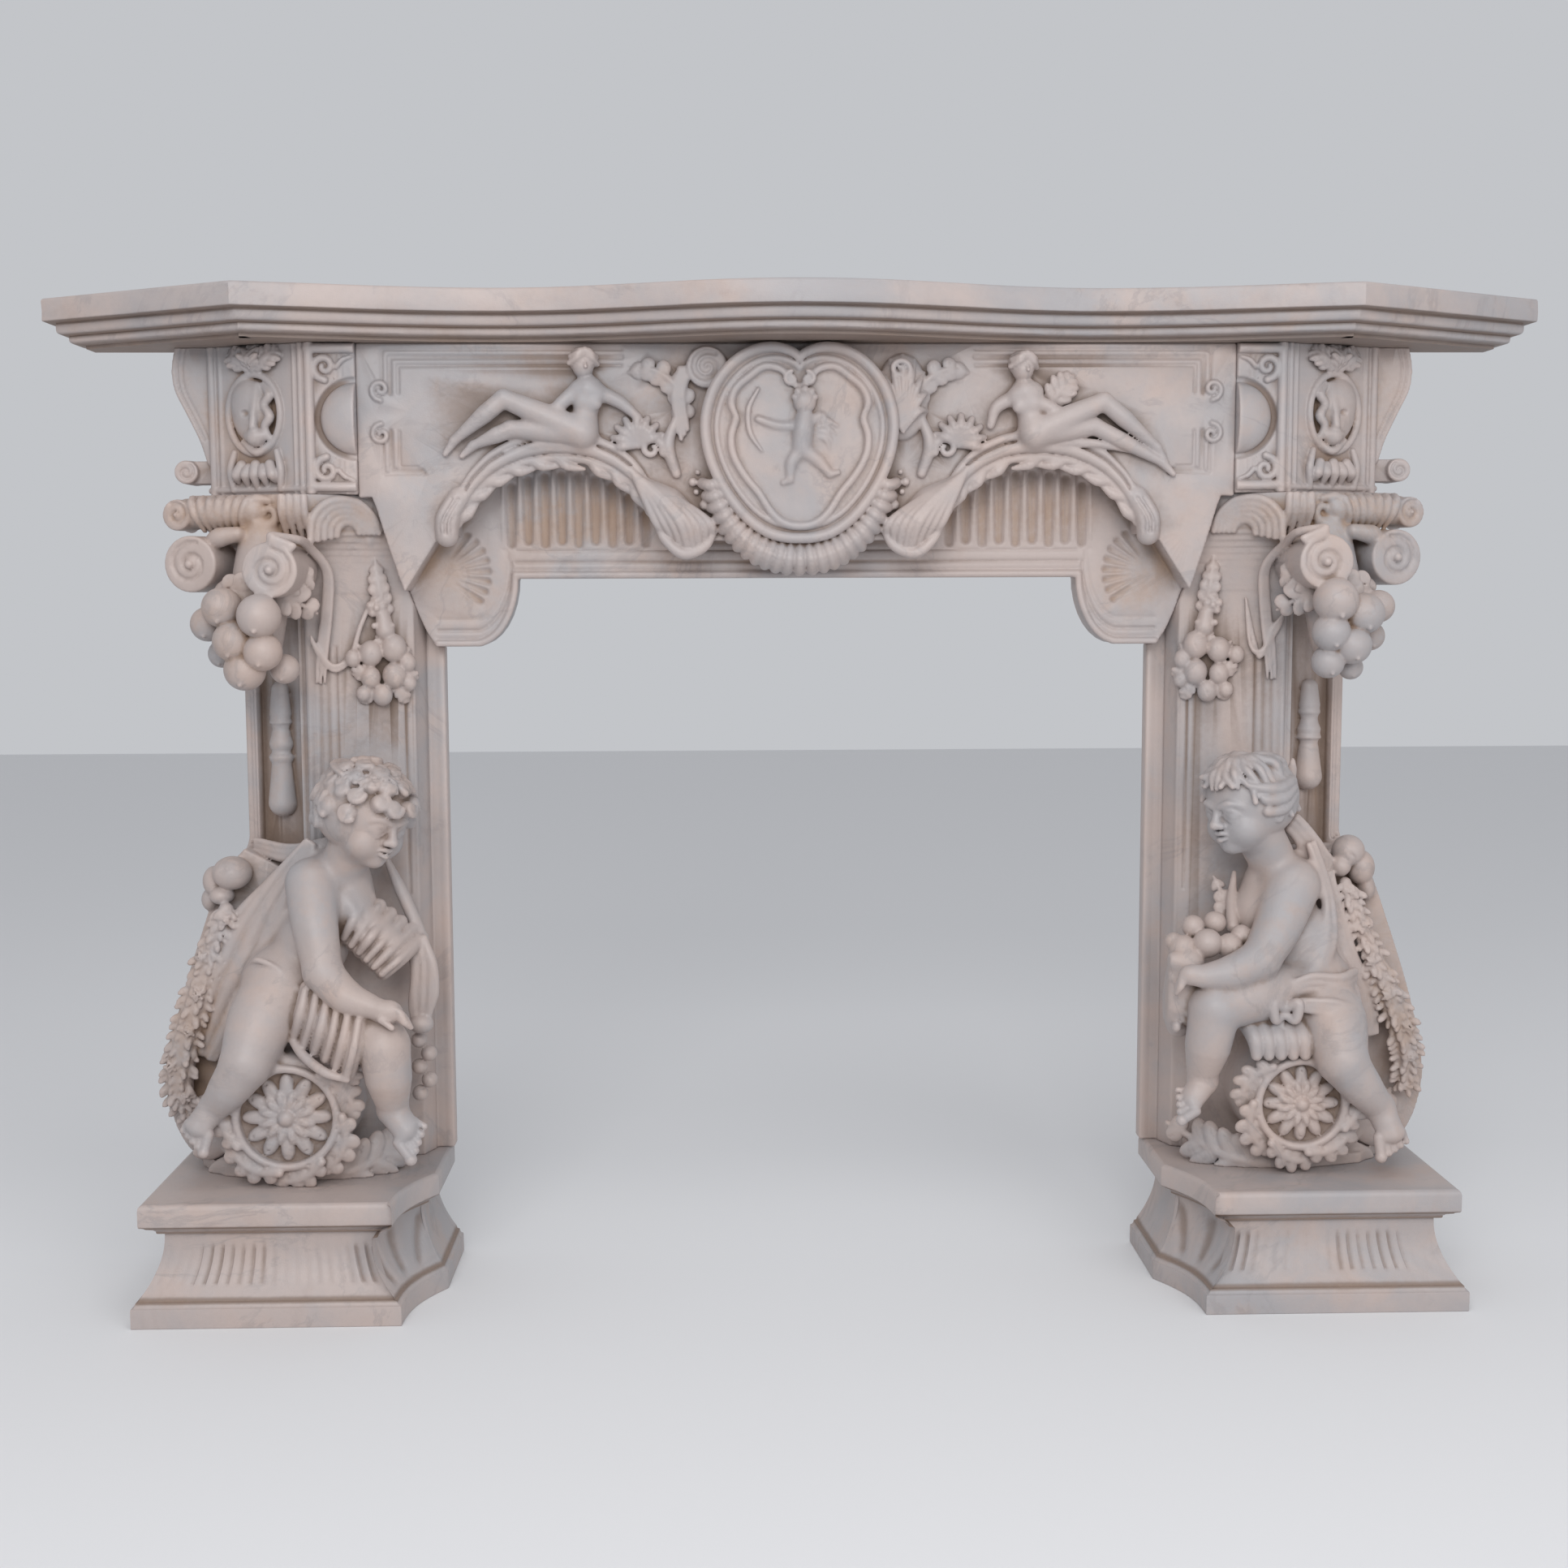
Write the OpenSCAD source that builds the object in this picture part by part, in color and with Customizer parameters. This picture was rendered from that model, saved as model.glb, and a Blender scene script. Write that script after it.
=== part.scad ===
// Carved marble fireplace mantel: shelf, frieze lintel, two corner blocks, two carved jambs, two plinths.
// Built with the wall plane at y = 0 and the front towards -y, then moved so that its box is centred.

/* [Overall] */
// Width of the shelf, the widest piece
shelf_w = 1850; // [1540:10:2220]
// Height of the shelf's top above the hearth
mantel_h = 1226; // [1020:2:1480]
// Width of the fire opening between the jambs
opening_w = 896; // [750:2:1080]

/* [Shelf] */
// Thickness of the shelf with its mouldings
shelf_t = 58; // [48:1:70]
// Reach of the shelf at the middle of its bow
bow_reach = 232; // [194:1:246]
// Reach of the shelf in its two hollows
hollow_reach = 152; // [127:1:182]
// Reach of the shelf at its two front corners
corner_reach = 206; // [172:1:246]
// Depth of the shelf's two plain ends
end_reach = 62; // [52:1:74]
// Run of each canted end, measured along the wall
cant_run = 264; // [220:1:316]
// Set-back of the lowest moulding from the slab's edge
mould_setback = 44; // [36:1:52]

/* [Frieze] */
// Height of the corner blocks
block_h = 182; // [152:1:218]
// Drop of the lintel's side brackets below the corner blocks
bracket_drop = 187; // [156:1:224]
// Rise from the bracket's foot to the opening's top edge
bracket_rise = 85; // [71:1:102]
// Reach of the brackets into the opening
bracket_reach = 101; // [84:1:121]
// Reach of the frieze panel from the wall
frieze_reach = 100; // [84:1:118]
// Reach of the fluted band under the frieze from the wall
band_reach = 52; // [44:1:62]
// Reach of the cartouche from the wall
cartouche_reach = 148; // [124:1:168]
// Number of flutes in each half of the band
flutes = 7; // [5:1:9]

/* [Legs] */
// Height of the plinths
plinth_h = 147; // [123:1:176]
// Reach of the plinths' base slabs from the wall
plinth_reach = 264; // [252:1:300]
// Width of the plinths' base slabs along the wall
plinth_w = 357; // [330:1:420]
// Thickness of the flat strip beside the opening
strip_t = 24; // [20:1:29]
// Reach of the leg's front arris from the wall
arris_reach = 86; // [72:1:103]
// Distance of the leg's front arris from the opening
arris_run = 160; // [134:1:176]
// Distance of the leg's outer side from the opening
shaft_run = 249; // [230:1:270]

/* [Hidden] */

marble = [0.80, 0.74, 0.70];
marble_stained = [0.74, 0.65, 0.58];
marble_grey = [0.70, 0.68, 0.67];

leg_x = opening_w / 2;                       // inner edge of each leg
joint_x = leg_x + 90;                        // joint between lintel and corner block
shelf_z = mantel_h - shelf_t;                // underside of the shelf
block_z = shelf_z - block_h;                 // top of the jambs
bracket_z = block_z - bracket_drop;          // foot of the lintel's brackets
opening_z = bracket_z + bracket_rise;        // top edge of the opening
jamb_h = block_z - plinth_h;
foot_x = leg_x + 6;                          // outer end of the bracket's foot
lug_x = joint_x - 15;                        // where the lintel's cut meets the jamb's top
block_reach = frieze_reach + 12;
block_arris = joint_x + 62;
block_side = joint_x + 190;
block_side_reach = 56;
centre_y = plinth_reach / 2;

// ---------- shared shapes ----------

function lerp(a, b, t) = a + (b - a) * t;
function ease(t) = (1 - cos(180 * t)) / 2;
function flip(points) = [for (i = [len(points) - 1:-1:0]) [-points[i][0], points[i][1]]];
function unit(v) = v / norm(v);
function backwards(points) = [for (i = [len(points) - 1:-1:0]) points[i]];
function edge_normal(path, i) =
    let (d = unit(path[i + 1] - path[i])) [-d[1], d[0]];

// Moves point i of an open path inwards by d; its two ends slide along the wall.
function inset(path, i, d) =
    i == 0 ? path[i] + [d, 0] :
    i == len(path) - 1 ? path[i] - [d, 0] :
    let (n = edge_normal(path, i - 1), m = edge_normal(path, i))
    path[i] + (n + m) * d / (1 + n * m);

// A stack of rings that follow an open path along the wall; profile lists [inset, height].
module moulded(path, profile) {
    n = len(path);
    m = len(profile);
    rings = [for (step = profile) for (i = [0:n - 1])
        let (p = inset(path, i, step[0])) [p[0], p[1], step[1]]];
    sides = [for (k = [0:m - 2]) for (i = [0:n - 1])
        let (a = k * n + i, b = (k + 1) * n + i, c = (k + 1) * n + (i + 1) % n, d = k * n + (i + 1) % n)
        each [[a, b, c], [a, c, d]]];
    bottom = [for (i = [0:n - 1]) i];
    top = [for (i = [n - 1:-1:0]) (m - 1) * n + i];
    polyhedron(rings, concat([bottom, top], sides), convexity = 6);
}

module ball(p, r, n = 6) {
    translate(p) sphere(r, $fn = n);
}

// A rounded bar between two balls: limbs, folds, stalks and ribbons.
module limb(a, ra, b, rb, n = 5) {
    hull() {
        ball(a, ra, n);
        ball(b, rb, n);
    }
}

module chain(points, radii, n = 5) {
    for (i = [0:len(points) - 2]) limb(points[i], radii[i], points[i + 1], radii[i + 1], n);
}

// A flat shape drawn in x and z, standing out from y = -back to y = -front.
module upright(back, front) {
    translate([0, -back, 0]) rotate([90, 0, 0]) linear_extrude(front - back) children();
}

// A pointed leaf that lies along x and z and bulges forward.
module leaf(root, tip, reach, width, thick) {
    mid = (root + tip) / 2;
    hull() {
        ball([root[0], -reach, root[1]], width * 0.32, 5);
        ball([mid[0], -reach - thick, mid[1]], width * 0.5, 5);
        ball([tip[0], -reach, tip[1]], width * 0.12, 5);
    }
}

// ---------- shelf ----------

corner_x = shelf_w / 2 - cant_run;
hollow_x = corner_x * 0.55;
function front_reach(x) =
    x < hollow_x ? lerp(bow_reach, hollow_reach, ease(x / hollow_x))
                 : lerp(hollow_reach, corner_reach, ease((x - hollow_x) / (corner_x - hollow_x) * 0.72) / ease(0.72));
shelf_half = concat(
    [[-shelf_w / 2, 0], [-shelf_w / 2, -end_reach]],
    [for (x = [corner_x:-corner_x / 10:1]) [-x, -front_reach(x)]]);
shelf_path = concat(shelf_half, [[0, -bow_reach]], flip(shelf_half));
slab_z = shelf_t - 27;
shelf_profile = [
    [mould_setback, 0], [mould_setback - 2, 6], [mould_setback - 13, 12], [mould_setback - 15, 19],
    [mould_setback - 25, slab_z - 4], [mould_setback - 26, slab_z - 1], [1, slab_z], [0, shelf_t - 3], [3, shelf_t]];

module shelf() {
    color(marble) translate([0, 0, shelf_z]) moulded(shelf_path, shelf_profile);
}

// ---------- lintel ----------

// The curved joint between lintel and jamb, from the bracket's foot up to the jamb's top.
cut_steps = 6;
cut_line = [for (i = [0:cut_steps])
    [lerp(foot_x, lug_x, pow(i / cut_steps, 0.75)), lerp(bracket_z, block_z, i / cut_steps)]];
bracket_flat = bracket_reach * 0.53;
bracket_curve = [for (a = [0:15:90])
    [foot_x - bracket_reach + bracket_flat * (1 - sin(a)), opening_z - bracket_rise * cos(a)]];
lintel_half = concat(backwards(bracket_curve), cut_line, [[joint_x, block_z], [joint_x, shelf_z]]);

arch_out = joint_x - 118;
arch_in = 149;
arch_x = (arch_out + arch_in) / 2;
arch_half = (arch_out - arch_in) / 2;
arch_z = shelf_z - 232;
arch_rise = 100;
arch_curve = [for (a = [180:-18:0]) [arch_x + arch_half * cos(a), arch_z + arch_rise * sin(a)]];
shield_w = 118;
shield_z = shelf_z - 118;

// Outline of the egg-shaped shield: full at the shoulders, narrowing to a blunt point.
function shield(s) = [for (a = [0:20:340])
    let (c = cos(a), d = sin(a))
    [s * shield_w * c * (1 - 0.20 * max(0, -d)) , shield_z + s * (d > 0 ? 112 : 128) * d]];

module lintel_body() {
    upright(0, band_reach) polygon(concat(lintel_half, flip(lintel_half)));
    // frieze panel over the two arches
    frieze_half = concat([[0, arch_z - 6], [arch_in - 20, arch_z - 6]], arch_curve,
        [[arch_out + 8, arch_z + 6], [arch_out + 52, block_z], [joint_x, block_z], [joint_x, shelf_z]]);
    upright(band_reach / 2, frieze_reach) polygon(concat(frieze_half, flip(frieze_half)));
    // the frieze panel's outer corners, carried down along the joint beside the brackets
    for (side = [0, 1]) mirror([side, 0, 0])
        upright(band_reach - 6, frieze_reach) polygon(concat([[arch_out + 14, arch_z + 2]],
            [for (i = [2:cut_steps]) cut_line[i] - [4, 0]], [[lug_x - 4, block_z + 8], [arch_out + 14, block_z + 8]]));
}

// Raised fillet round the edge of the opening.
module opening_fillet() {
    for (side = [-1, 1]) {
        path = [for (p = bracket_curve) [side * p[0], -band_reach, p[1] + 9]];
        chain(path, [for (p = path) 7]);
    }
    limb([bracket_curve[6][0], -band_reach, opening_z + 9], 7,
         [-bracket_curve[6][0], -band_reach, opening_z + 9], 7, 5);
}

module flute_cuts() {
    flute_w = 9;
    foot = opening_z + 42;
    for (side = [-1, 1]) for (i = [0:flutes - 1]) {
        x = side * lerp(arch_in + 44, arch_out - 60, i / (flutes - 1));
        top = arch_z + arch_rise * 0.52 * sqrt(max(0, 1 - pow((abs(x) - arch_x) / arch_half, 2)));
        upright(band_reach - 4, band_reach + 2)
            polygon([[x - flute_w, foot], [x + flute_w * 0.4, foot], [x + flute_w * 0.4, top - 6],
                     [x - flute_w * 0.3, top], [x - flute_w, top - 6]]);
    }
}

// The scroll that frames each arch, small at its outer end and large beside the shield.
module arch_scroll() {
    band = [for (a = [172:-27.3:8])
        [arch_x + (arch_half + 4) * cos(a), -frieze_reach, arch_z + (arch_rise + 6) * sin(a)]];
    chain(band, [for (p = band) 15]);
    ball([arch_out + 4, -frieze_reach, arch_z + 2], 21);
    ball([arch_in + 8, -frieze_reach - 6, arch_z - 2], 34);
    leaf([arch_x - 30, arch_z + arch_rise - 2], [arch_x + 84, arch_z + arch_rise - 30], frieze_reach - 12, 40, 8);
    leaf([arch_in + 40, arch_z + 36], [arch_in + 90, arch_z + 78], band_reach + 4, 44, 16);
}

module cartouche() {
    field_reach = cartouche_reach - 18;
    difference() {
        union() {
            upright(0, cartouche_reach - 8) polygon(shield(1));
            upright(0, cartouche_reach) polygon(shield(0.90));
        }
        upright(field_reach, cartouche_reach + 1) polygon(shield(0.74));
    }
    // ribbed shell skirt under the shield
    for (i = [-3:3]) {
        foot = [i * 27, -cartouche_reach + 34 + abs(i) * 4, opening_z + 14 + abs(i) * 9];
        limb([i * 20, -cartouche_reach + 30, opening_z + 60 + abs(i) * 12], 14, foot, 15);
    }
    // cupid in low relief on the field
    chest = [10, -field_reach - 2, shield_z + 24];
    hips = [14, -field_reach - 2, shield_z - 16];
    ball([14, -field_reach - 2, shield_z + 58], 17);
    limb(chest, 17, hips, 17);
    limb(chest, 8, [-46, -field_reach - 1, shield_z + 30], 7);
    limb(hips, 13, [-8, -field_reach, shield_z - 66], 8);
    limb(hips, 13, [44, -field_reach, shield_z - 60], 8);
    limb(chest, 9, [56, -field_reach - 1, shield_z + 40], 14);
    // scrolls on the shield's shoulders
    ball([-108, -frieze_reach - 8, shelf_z - 36], 27);
    ball([116, -frieze_reach - 8, shelf_z - 42], 29);
}

// A reclining nude in half relief. Measured from its hips, lying along +x.
module nude(head, shoulder, elbow, hand, knee_up, foot_up, knee_low, foot_low) {
    y = -frieze_reach - 2;
    hips = [0, y - 6, 0];
    chest = [lerp(0, shoulder[0], 0.72), y - 8, lerp(0, shoulder[1], 0.72)];
    function at(p, r) = [p[0], y - r, p[1]];
    ball(at(head, 8), 21);
    limb(hips, 27, chest, 27);
    limb(at(shoulder, 4), 14, at(elbow, 4), 10);
    limb(at(elbow, 4), 10, at(hand, 4), 9);
    limb(hips, 23, at(knee_up, 6), 15);
    limb(at(knee_up, 6), 14, at(foot_up, 0), 8);
    limb(hips, 22, at(knee_low, 2), 14);
    limb(at(knee_low, 2), 13, at(foot_low, 0), 8);
}

// Raised frame round each figure's panel.
module panel_frame() {
    bar = 5;
    low = block_z + 20;
    high = shelf_z - 22;
    outer = joint_x - 36;
    upright(frieze_reach - 2, frieze_reach + 3) polygon([
        [arch_out - 10, low], [outer, low], [outer, high], [arch_in + 30, high], [arch_in + 30, high - bar],
        [outer - bar, high - bar], [outer - bar, low + bar], [arch_out - 10, low + bar]]);
}

module lintel() {
    color(marble) difference() {
        lintel_body();
        flute_cuts();
    }
    color(marble) {
        opening_fillet();
        for (side = [0, 1]) mirror([side, 0, 0]) {
            arch_scroll();
            panel_frame();
        }
        cartouche();
        translate([-258, 0, arch_z + 122])
            nude([-4, 86], [-14, 62], [44, 26], [40, 14], [-102, 36], [-160, -24], [-90, -8], [-132, -34]);
        translate([270, 0, arch_z + 110])
            nude([-8, 96], [4, 66], [30, 40], [22, 14], [90, 40], [168, -22], [78, -6], [180, -40]);
    }
}

// ---------- corner blocks ----------

cant_angle = atan2(block_reach - block_side_reach, block_side - block_arris);
cant_w = norm([block_side - block_arris, block_reach - block_side_reach]);
function oval(w, h) = [for (a = [0:15:345]) [w * cos(a), h * sin(a)]];

// Everything on the block's canted face: x along the face from the arris, z up, -y outwards.
module on_cant() {
    translate([block_arris, -block_reach, block_z]) rotate([0, 0, cant_angle]) children();
}

module corner_block() {
    plan = [[joint_x, 0], [joint_x, -block_reach], [block_arris, -block_reach],
            [block_side, -block_side_reach], [block_side, 0]];
    mid = cant_w * 0.52;
    face_z = block_h * 0.52;
    difference() {
        translate([0, 0, block_z]) linear_extrude(block_h) polygon(plan);
        // sunk panel round the mask
        on_cant() upright(-5, 4) polygon([[16, 14], [cant_w - 20, 14], [cant_w - 20, block_h - 14], [16, block_h - 14]]);
        // sunk panel on the narrow front
        translate([0, 0, block_z]) upright(block_reach - 4, block_reach + 4)
            polygon([[joint_x - 1, 14], [block_arris - 12, 14], [block_arris - 12, block_h - 14], [joint_x - 1, block_h - 14]]);
    }
    // half-round boss that meets the lintel
    translate([joint_x, 0, block_z + block_h * 0.49]) upright(block_reach - 6, block_reach + 7)
        intersection() {
            circle(r = 42, $fn = 40);
            translate([0, -60]) square([60, 120]);
        }
    for (z = [0.26, 0.77]) translate([joint_x + 18, -block_reach + 3, block_z + block_h * z]) sphere(r = 11, $fn = 16);
    on_cant() {
        difference() {
            translate([mid, 0, face_z]) upright(-6, 6) polygon(oval(43, 62));
            translate([mid, 0, face_z]) upright(2, 8) polygon(oval(36, 55));
        }
        // lion mask: brow, cheeks and muzzle
        translate([mid, -4, face_z + 18]) sphere(r = 25, $fn = 20);
        translate([mid - 14, -8, face_z]) sphere(r = 17, $fn = 18);
        translate([mid + 14, -8, face_z]) sphere(r = 17, $fn = 18);
        translate([mid, -14, face_z - 20]) sphere(r = 19, $fn = 18);
        // leaf tuft above and leaf tongues below
        for (i = [-1:1]) {
            leaf([mid + i * 10, face_z + 60], [mid + i * 34, face_z + 76], 0, 26, 4);
            leaf([mid + i * 16, face_z - 62], [mid + i * 20, 16], 0, 24, 4);
        }
    }
    // scrolled console on the outer side
    translate([block_side, 0, block_z]) upright(8, 50)
        polygon([[-1, 30], [6, 44], [16, 74], [34, 104], [45, 130], [47, block_h - 22], [40, block_h], [-1, block_h]]);
    translate([block_side + 26, -8, block_z + 30]) rotate([90, 0, 0]) cylinder(r = 15, h = 42, $fn = 32);
    translate([block_side - 1, -50, block_z + 16]) cube([27, 42, 28]);
}

module corner_block_left() {
    color(marble_grey) mirror([1, 0, 0]) corner_block();
}

module corner_block_right() {
    color(marble_grey) corner_block();
}

// ---------- jambs ----------
// Everything on a jamb is measured from the opening's edge, the wall and the plinth's top.

strip_edge = 22;
console_low = [[strip_edge, 0], [300, 0], [340, 24], [356, 84], [338, 162], [306, 241], [268, 330], [250, 408],
               [strip_edge, 408]];
console_reach = 104;
scroll_x = 172;
scroll_z = 88;
scroll_r = 86;
scroll_reach = 190;

// Distance of the canted face from the wall at a given run from the opening.
shaft_reach = 44;
function cant_reach(x) = lerp(arris_reach, shaft_reach, (x - arris_run) / (shaft_run - arris_run));
niche_deep = 12;
niche_z = 400;

module jamb_core() {
    // flat strip beside the opening, cut at the top along the lintel's joint
    cut = [for (p = cut_line) [p[0] - leg_x, p[1] - plinth_h]];
    upright(0, strip_t) polygon(concat([[0, 0], [0, bracket_z - plinth_h]], cut,
        [[shaft_run, jamb_h], [shaft_run, 0]]));
    // pilaster: slanted front panel, arris and canted outer face with a sunk niche
    difference() {
        intersection() {
            linear_extrude(jamb_h) polygon([[strip_edge, 0], [strip_edge, -strip_t - 4], [strip_edge + 12, -arris_reach * 0.66],
                [arris_run, -arris_reach], [shaft_run, -shaft_reach], [shaft_run, 0]]);
            upright(-1, arris_reach + 1) polygon(concat([[strip_edge, 0], [strip_edge, bracket_z - plinth_h - 10]],
                [for (p = cut) p + [4, 0]], [[shaft_run, jamb_h], [shaft_run, 0]]));
        }
        translate([arris_run, -arris_reach, niche_z])
            rotate([0, 0, atan2(arris_reach - shaft_reach, shaft_run - arris_run)])
            translate([18, -10, 0]) cube([70, 10 + niche_deep, jamb_h - niche_z - 190]);
    }
}

module capital() {
    translate([0, 0, jamb_h]) {
        // top band that carries the corner block, tapering back to the shaft
        hull() {
            translate([0, 0, -40]) linear_extrude(40)
                polygon([[99, 0], [99, -92], [160, -128], [300, -78], [318, -40], [318, 0]]);
            translate([0, 0, -110]) linear_extrude(4)
                polygon([[112, 0], [112, -70], [160, -96], [252, -60], [262, 0]]);
        }
        // turned-over leaf with ribs on the canted face
        for (i = [0:4]) {
            x = 192 + i * 24;
            y = -122 + (x - 160) * 50 / 140;
            limb([x, y, -14], 14, [x + 4, y - 4, -38 - 4 * (2 - abs(i - 2))], 14);
        }
        // frond over the front panel, ending in a small ball
        chain([[92, -76, -48], [108, -92, -26], [136, -106, -22], [158, -114, -48]], [12, 14, 14, 10]);
        ball([84, -70, -44], 18);
        // two volutes with the ribbon that runs down from the inner one
        translate([290, -76, -80]) rotate([90, 0, 0]) cylinder(r = 36, h = 46, $fn = 12);
        translate([180, -110, -86]) rotate([90, 0, 0]) cylinder(r = 38, h = 80, $fn = 12);
        ball([290, -120, -80], 15, 5);
        ball([180, -188, -86], 16, 5);
        chain([[190, -150, -50], [160, -130, -56], [148, -104, -100], [146, -88, -178]], [14, 16, 14, 9]);
        // plums that hang between the volutes, and the leaves behind them
        plums = [[241, -180, -136, 26], [193, -196, -145, 28], [228, -182, -172, 26], [191, -188, -184, 25],
                 [216, -176, -206, 27], [266, -146, -154, 22], [176, -152, -206, 20]];
        for (p = plums) ball([p[0], p[1], p[2]], p[3], 5);
        hull() {
            ball([232, -104, -104], 56);
            ball([206, -112, -196], 44);
        }
    }
}

// Bellflower drop in the niche, a chain of cups that keeps its distance from the arris.
bell_offset = 46;

module bellflowers(count, top, low) {
    x = arris_run + bell_offset;
    for (i = [0:count - 1]) translate([x, -cant_reach(x) + 2, jamb_h - lerp(top, low, i / (count - 1))])
        cylinder(r1 = 18, r2 = 12, h = 32, $fn = 6);
}

// Small fruit drop on the front panel, hung from a ribboned leaf.
module fruit_drop(x) {
    y = -arris_reach * 0.76;
    translate([x, y, jamb_h]) {
        limb([4, 0, -76], 18, [2, 0, -122], 14);
        limb([2, 0, -122], 12, [0, 0, -190], 24);
        for (i = [-1:1]) {
            ball([i * 26, -8 + 4 * abs(i), -172 - 16 * (1 - abs(i))], 22, 5);
            ball([i * 23, -6 + 4 * abs(i), -212 - 14 * (1 - abs(i))], 21, 5);
        }
        ball([2, 0, -250], 18);
    }
}

module swag() {
    translate([0, 0, jamb_h])
        chain([[154, -86, -168], [142, -84, -196], [122, -80, -180], [100, -72, -136]], [7, 7, 7, 7]);
}

// Outward-swelling console under the figure, with its leaf garland and rosetted scroll.
module console(garland) {
    upright(0, console_reach) polygon(console_low);
    chain(garland, [27, 25, 27, 26, 24]);
    translate([scroll_x, 0, scroll_z]) rotate([90, 0, 0]) {
        cylinder(r = scroll_r, h = scroll_reach - 16, $fn = 20);
        for (a = [0:60:300]) rotate([0, 0, a]) translate([36, 0, 0])
            cylinder(r = 20, h = scroll_reach - 6, $fn = 5);
        cylinder(r = 19, h = scroll_reach + 2, $fn = 6);
    }
    // acanthus between scroll and outer edge, and towards the opening
    leaf([232, 60], [330, 118], console_reach, 60, 34);
    leaf([228, 34], [322, 34], console_reach, 54, 30);
    leaf([112, 36], [26, 62], console_reach - 30, 56, 40);
    leaf([150, 26], [44, 24], console_reach - 30, 40, 34);
}

// Skull, cheeks, nose and wreathed hair; the face looks towards the opening.
module head(p, r, tilt) {
    translate(p) rotate([0, tilt, 0]) {
        ball([0, 0, 0], r, 8);
        ball([-12, -10, -20], r * 0.76, 8);
        ball([-46, -16, -22], 12, 5);
        limb([-22, 0, 32], 30, [26, 0, 28], 34, 8);
    }
}

module putto_left() {
    shoulder = [148, -156, 362];
    hips = [190, -134, 234];
    elbow = [131, -188, 262];
    knee_out = [222, -218, 158];
    ankle_out = [266, -188, 104];
    knee_in = [54, -214, 180];
    ankle_in = [50, -190, 90];
    head([84, -150, 440], 50, -24);
    limb([122, -132, 372], 30, [92, -142, 420], 28);
    limb([134, -118, 326], 58, hips, 60, 6);
    limb(shoulder, 35, elbow, 26, 6);
    limb(elbow, 25, [52, -214, 224], 19, 6);
    limb(hips, 54, knee_out, 38, 6);
    limb(knee_out, 36, ankle_out, 22, 6);
    limb(ankle_out, 22, [288, -212, 72], 14);
    limb([170, -136, 214], 46, knee_in, 42, 6);
    limb(knee_in, 40, ankle_in, 26, 6);
    limb(ankle_in, 25, [12, -212, 52], 14);
    // sash across the chest, cloth under the thigh, cloth and flowers on the far side
    limb([120, -138, 326], 46, [58, -138, 276], 44);
    limb([140, -172, 200], 38, [84, -184, 178], 32);
    chain([[36, -100, 262], [28, -104, 196], [26, -100, 128]], [20, 24, 22]);
    // cloth that runs down behind the back
    chain([[166, -110, 402], [226, -118, 296], [278, -122, 124]], [18, 24, 26]);
}

module putto_right() {
    shoulder = [158, -156, 352];
    hips = [196, -136, 206];
    elbow = [110, -188, 268];
    knee_out = [208, -216, 148];
    ankle_out = [264, -190, 82];
    knee_in = [50, -196, 214];
    ankle_in = [46, -172, 116];
    head([104, -148, 450], 50, -12);
    limb([130, -132, 376], 30, [110, -140, 424], 28);
    limb([162, -118, 312], 60, hips, 64, 6);
    limb(shoulder, 36, elbow, 26, 6);
    limb(elbow, 25, [26, -202, 254], 20, 6);
    limb(hips, 54, knee_out, 39, 6);
    limb(knee_out, 37, ankle_out, 23, 6);
    limb(ankle_out, 22, [278, -208, 32], 14);
    limb([158, -134, 194], 46, knee_in, 38, 6);
    limb(knee_in, 36, ankle_in, 23, 6);
    limb(ankle_in, 22, [12, -190, 90], 14);
    // fruit in the hand with the cloth that hangs from it
    for (p = [[24, -176, 280], [50, -182, 284], [78, -172, 286]]) ball(p, 20, 5);
    chain([[30, -150, 262], [28, -136, 226], [24, -108, 190]], [26, 26, 22]);
    // waist cloth and ribbed roll of the seat, strap behind the back
    limb([200, -150, 258], 50, [140, -166, 222], 36);
    limb([96, -164, 168], 26, [196, -172, 168], 34);
    chain([[192, -108, 412], [240, -110, 330], [292, -120, 168]], [16, 22, 24]);
}

module jamb_left() {
    color(marble_stained) mirror([1, 0, 0]) translate([leg_x, 0, plinth_h]) {
        jamb_core();
        capital();
        swag();
        bellflowers(6, 240, 388);
        fruit_drop(74);
        console([[268, -96, 362], [284, -98, 308], [304, -104, 240], [328, -108, 168], [340, -104, 96]]);
        putto_left();
    }
}

module jamb_right() {
    color(marble_stained) translate([leg_x, 0, plinth_h]) {
        jamb_core();
        capital();
        bellflowers(5, 244, 362);
        fruit_drop(69);
        console([[268, -92, 370], [282, -96, 318], [302, -102, 252], [322, -108, 180], [332, -104, 94]]);
        putto_right();
    }
}

// ---------- plinths ----------

plinth_in = 33;                   // set-in of the base slab's front corner from the opening
plinth_cut_y = 140;               // where its canted corner meets the straight inner side
plinth_path = [[-5, 0], [-5, -plinth_cut_y], [plinth_in, -plinth_reach], [plinth_in + plinth_w - 38, -plinth_reach],
               [plinth_in + plinth_w - 38, 0]];
plinth_profile = [[0, 0], [0, 24], [3, 30], [9, 33], [22, 48], [31, 72], [34, 98], [30, 106],
                  [24, 109], [22, 116], [13, 118], [10, 122], [10, plinth_h - 4], [14, plinth_h]];

module plinth() {
    translate([leg_x, 0, 0]) moulded(plinth_path, plinth_profile);
}

module plinth_left() {
    color(marble) mirror([1, 0, 0]) plinth();
}

module plinth_right() {
    color(marble) plinth();
}

translate([0, centre_y, 0]) {
    shelf();
    lintel();
    corner_block_left();
    corner_block_right();
    jamb_left();
    jamb_right();
    plinth_left();
    plinth_right();
}
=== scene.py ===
"""Carved marble fireplace mantel: eight stones, carved on a grid of distances or swept from a profile."""

import math

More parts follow.
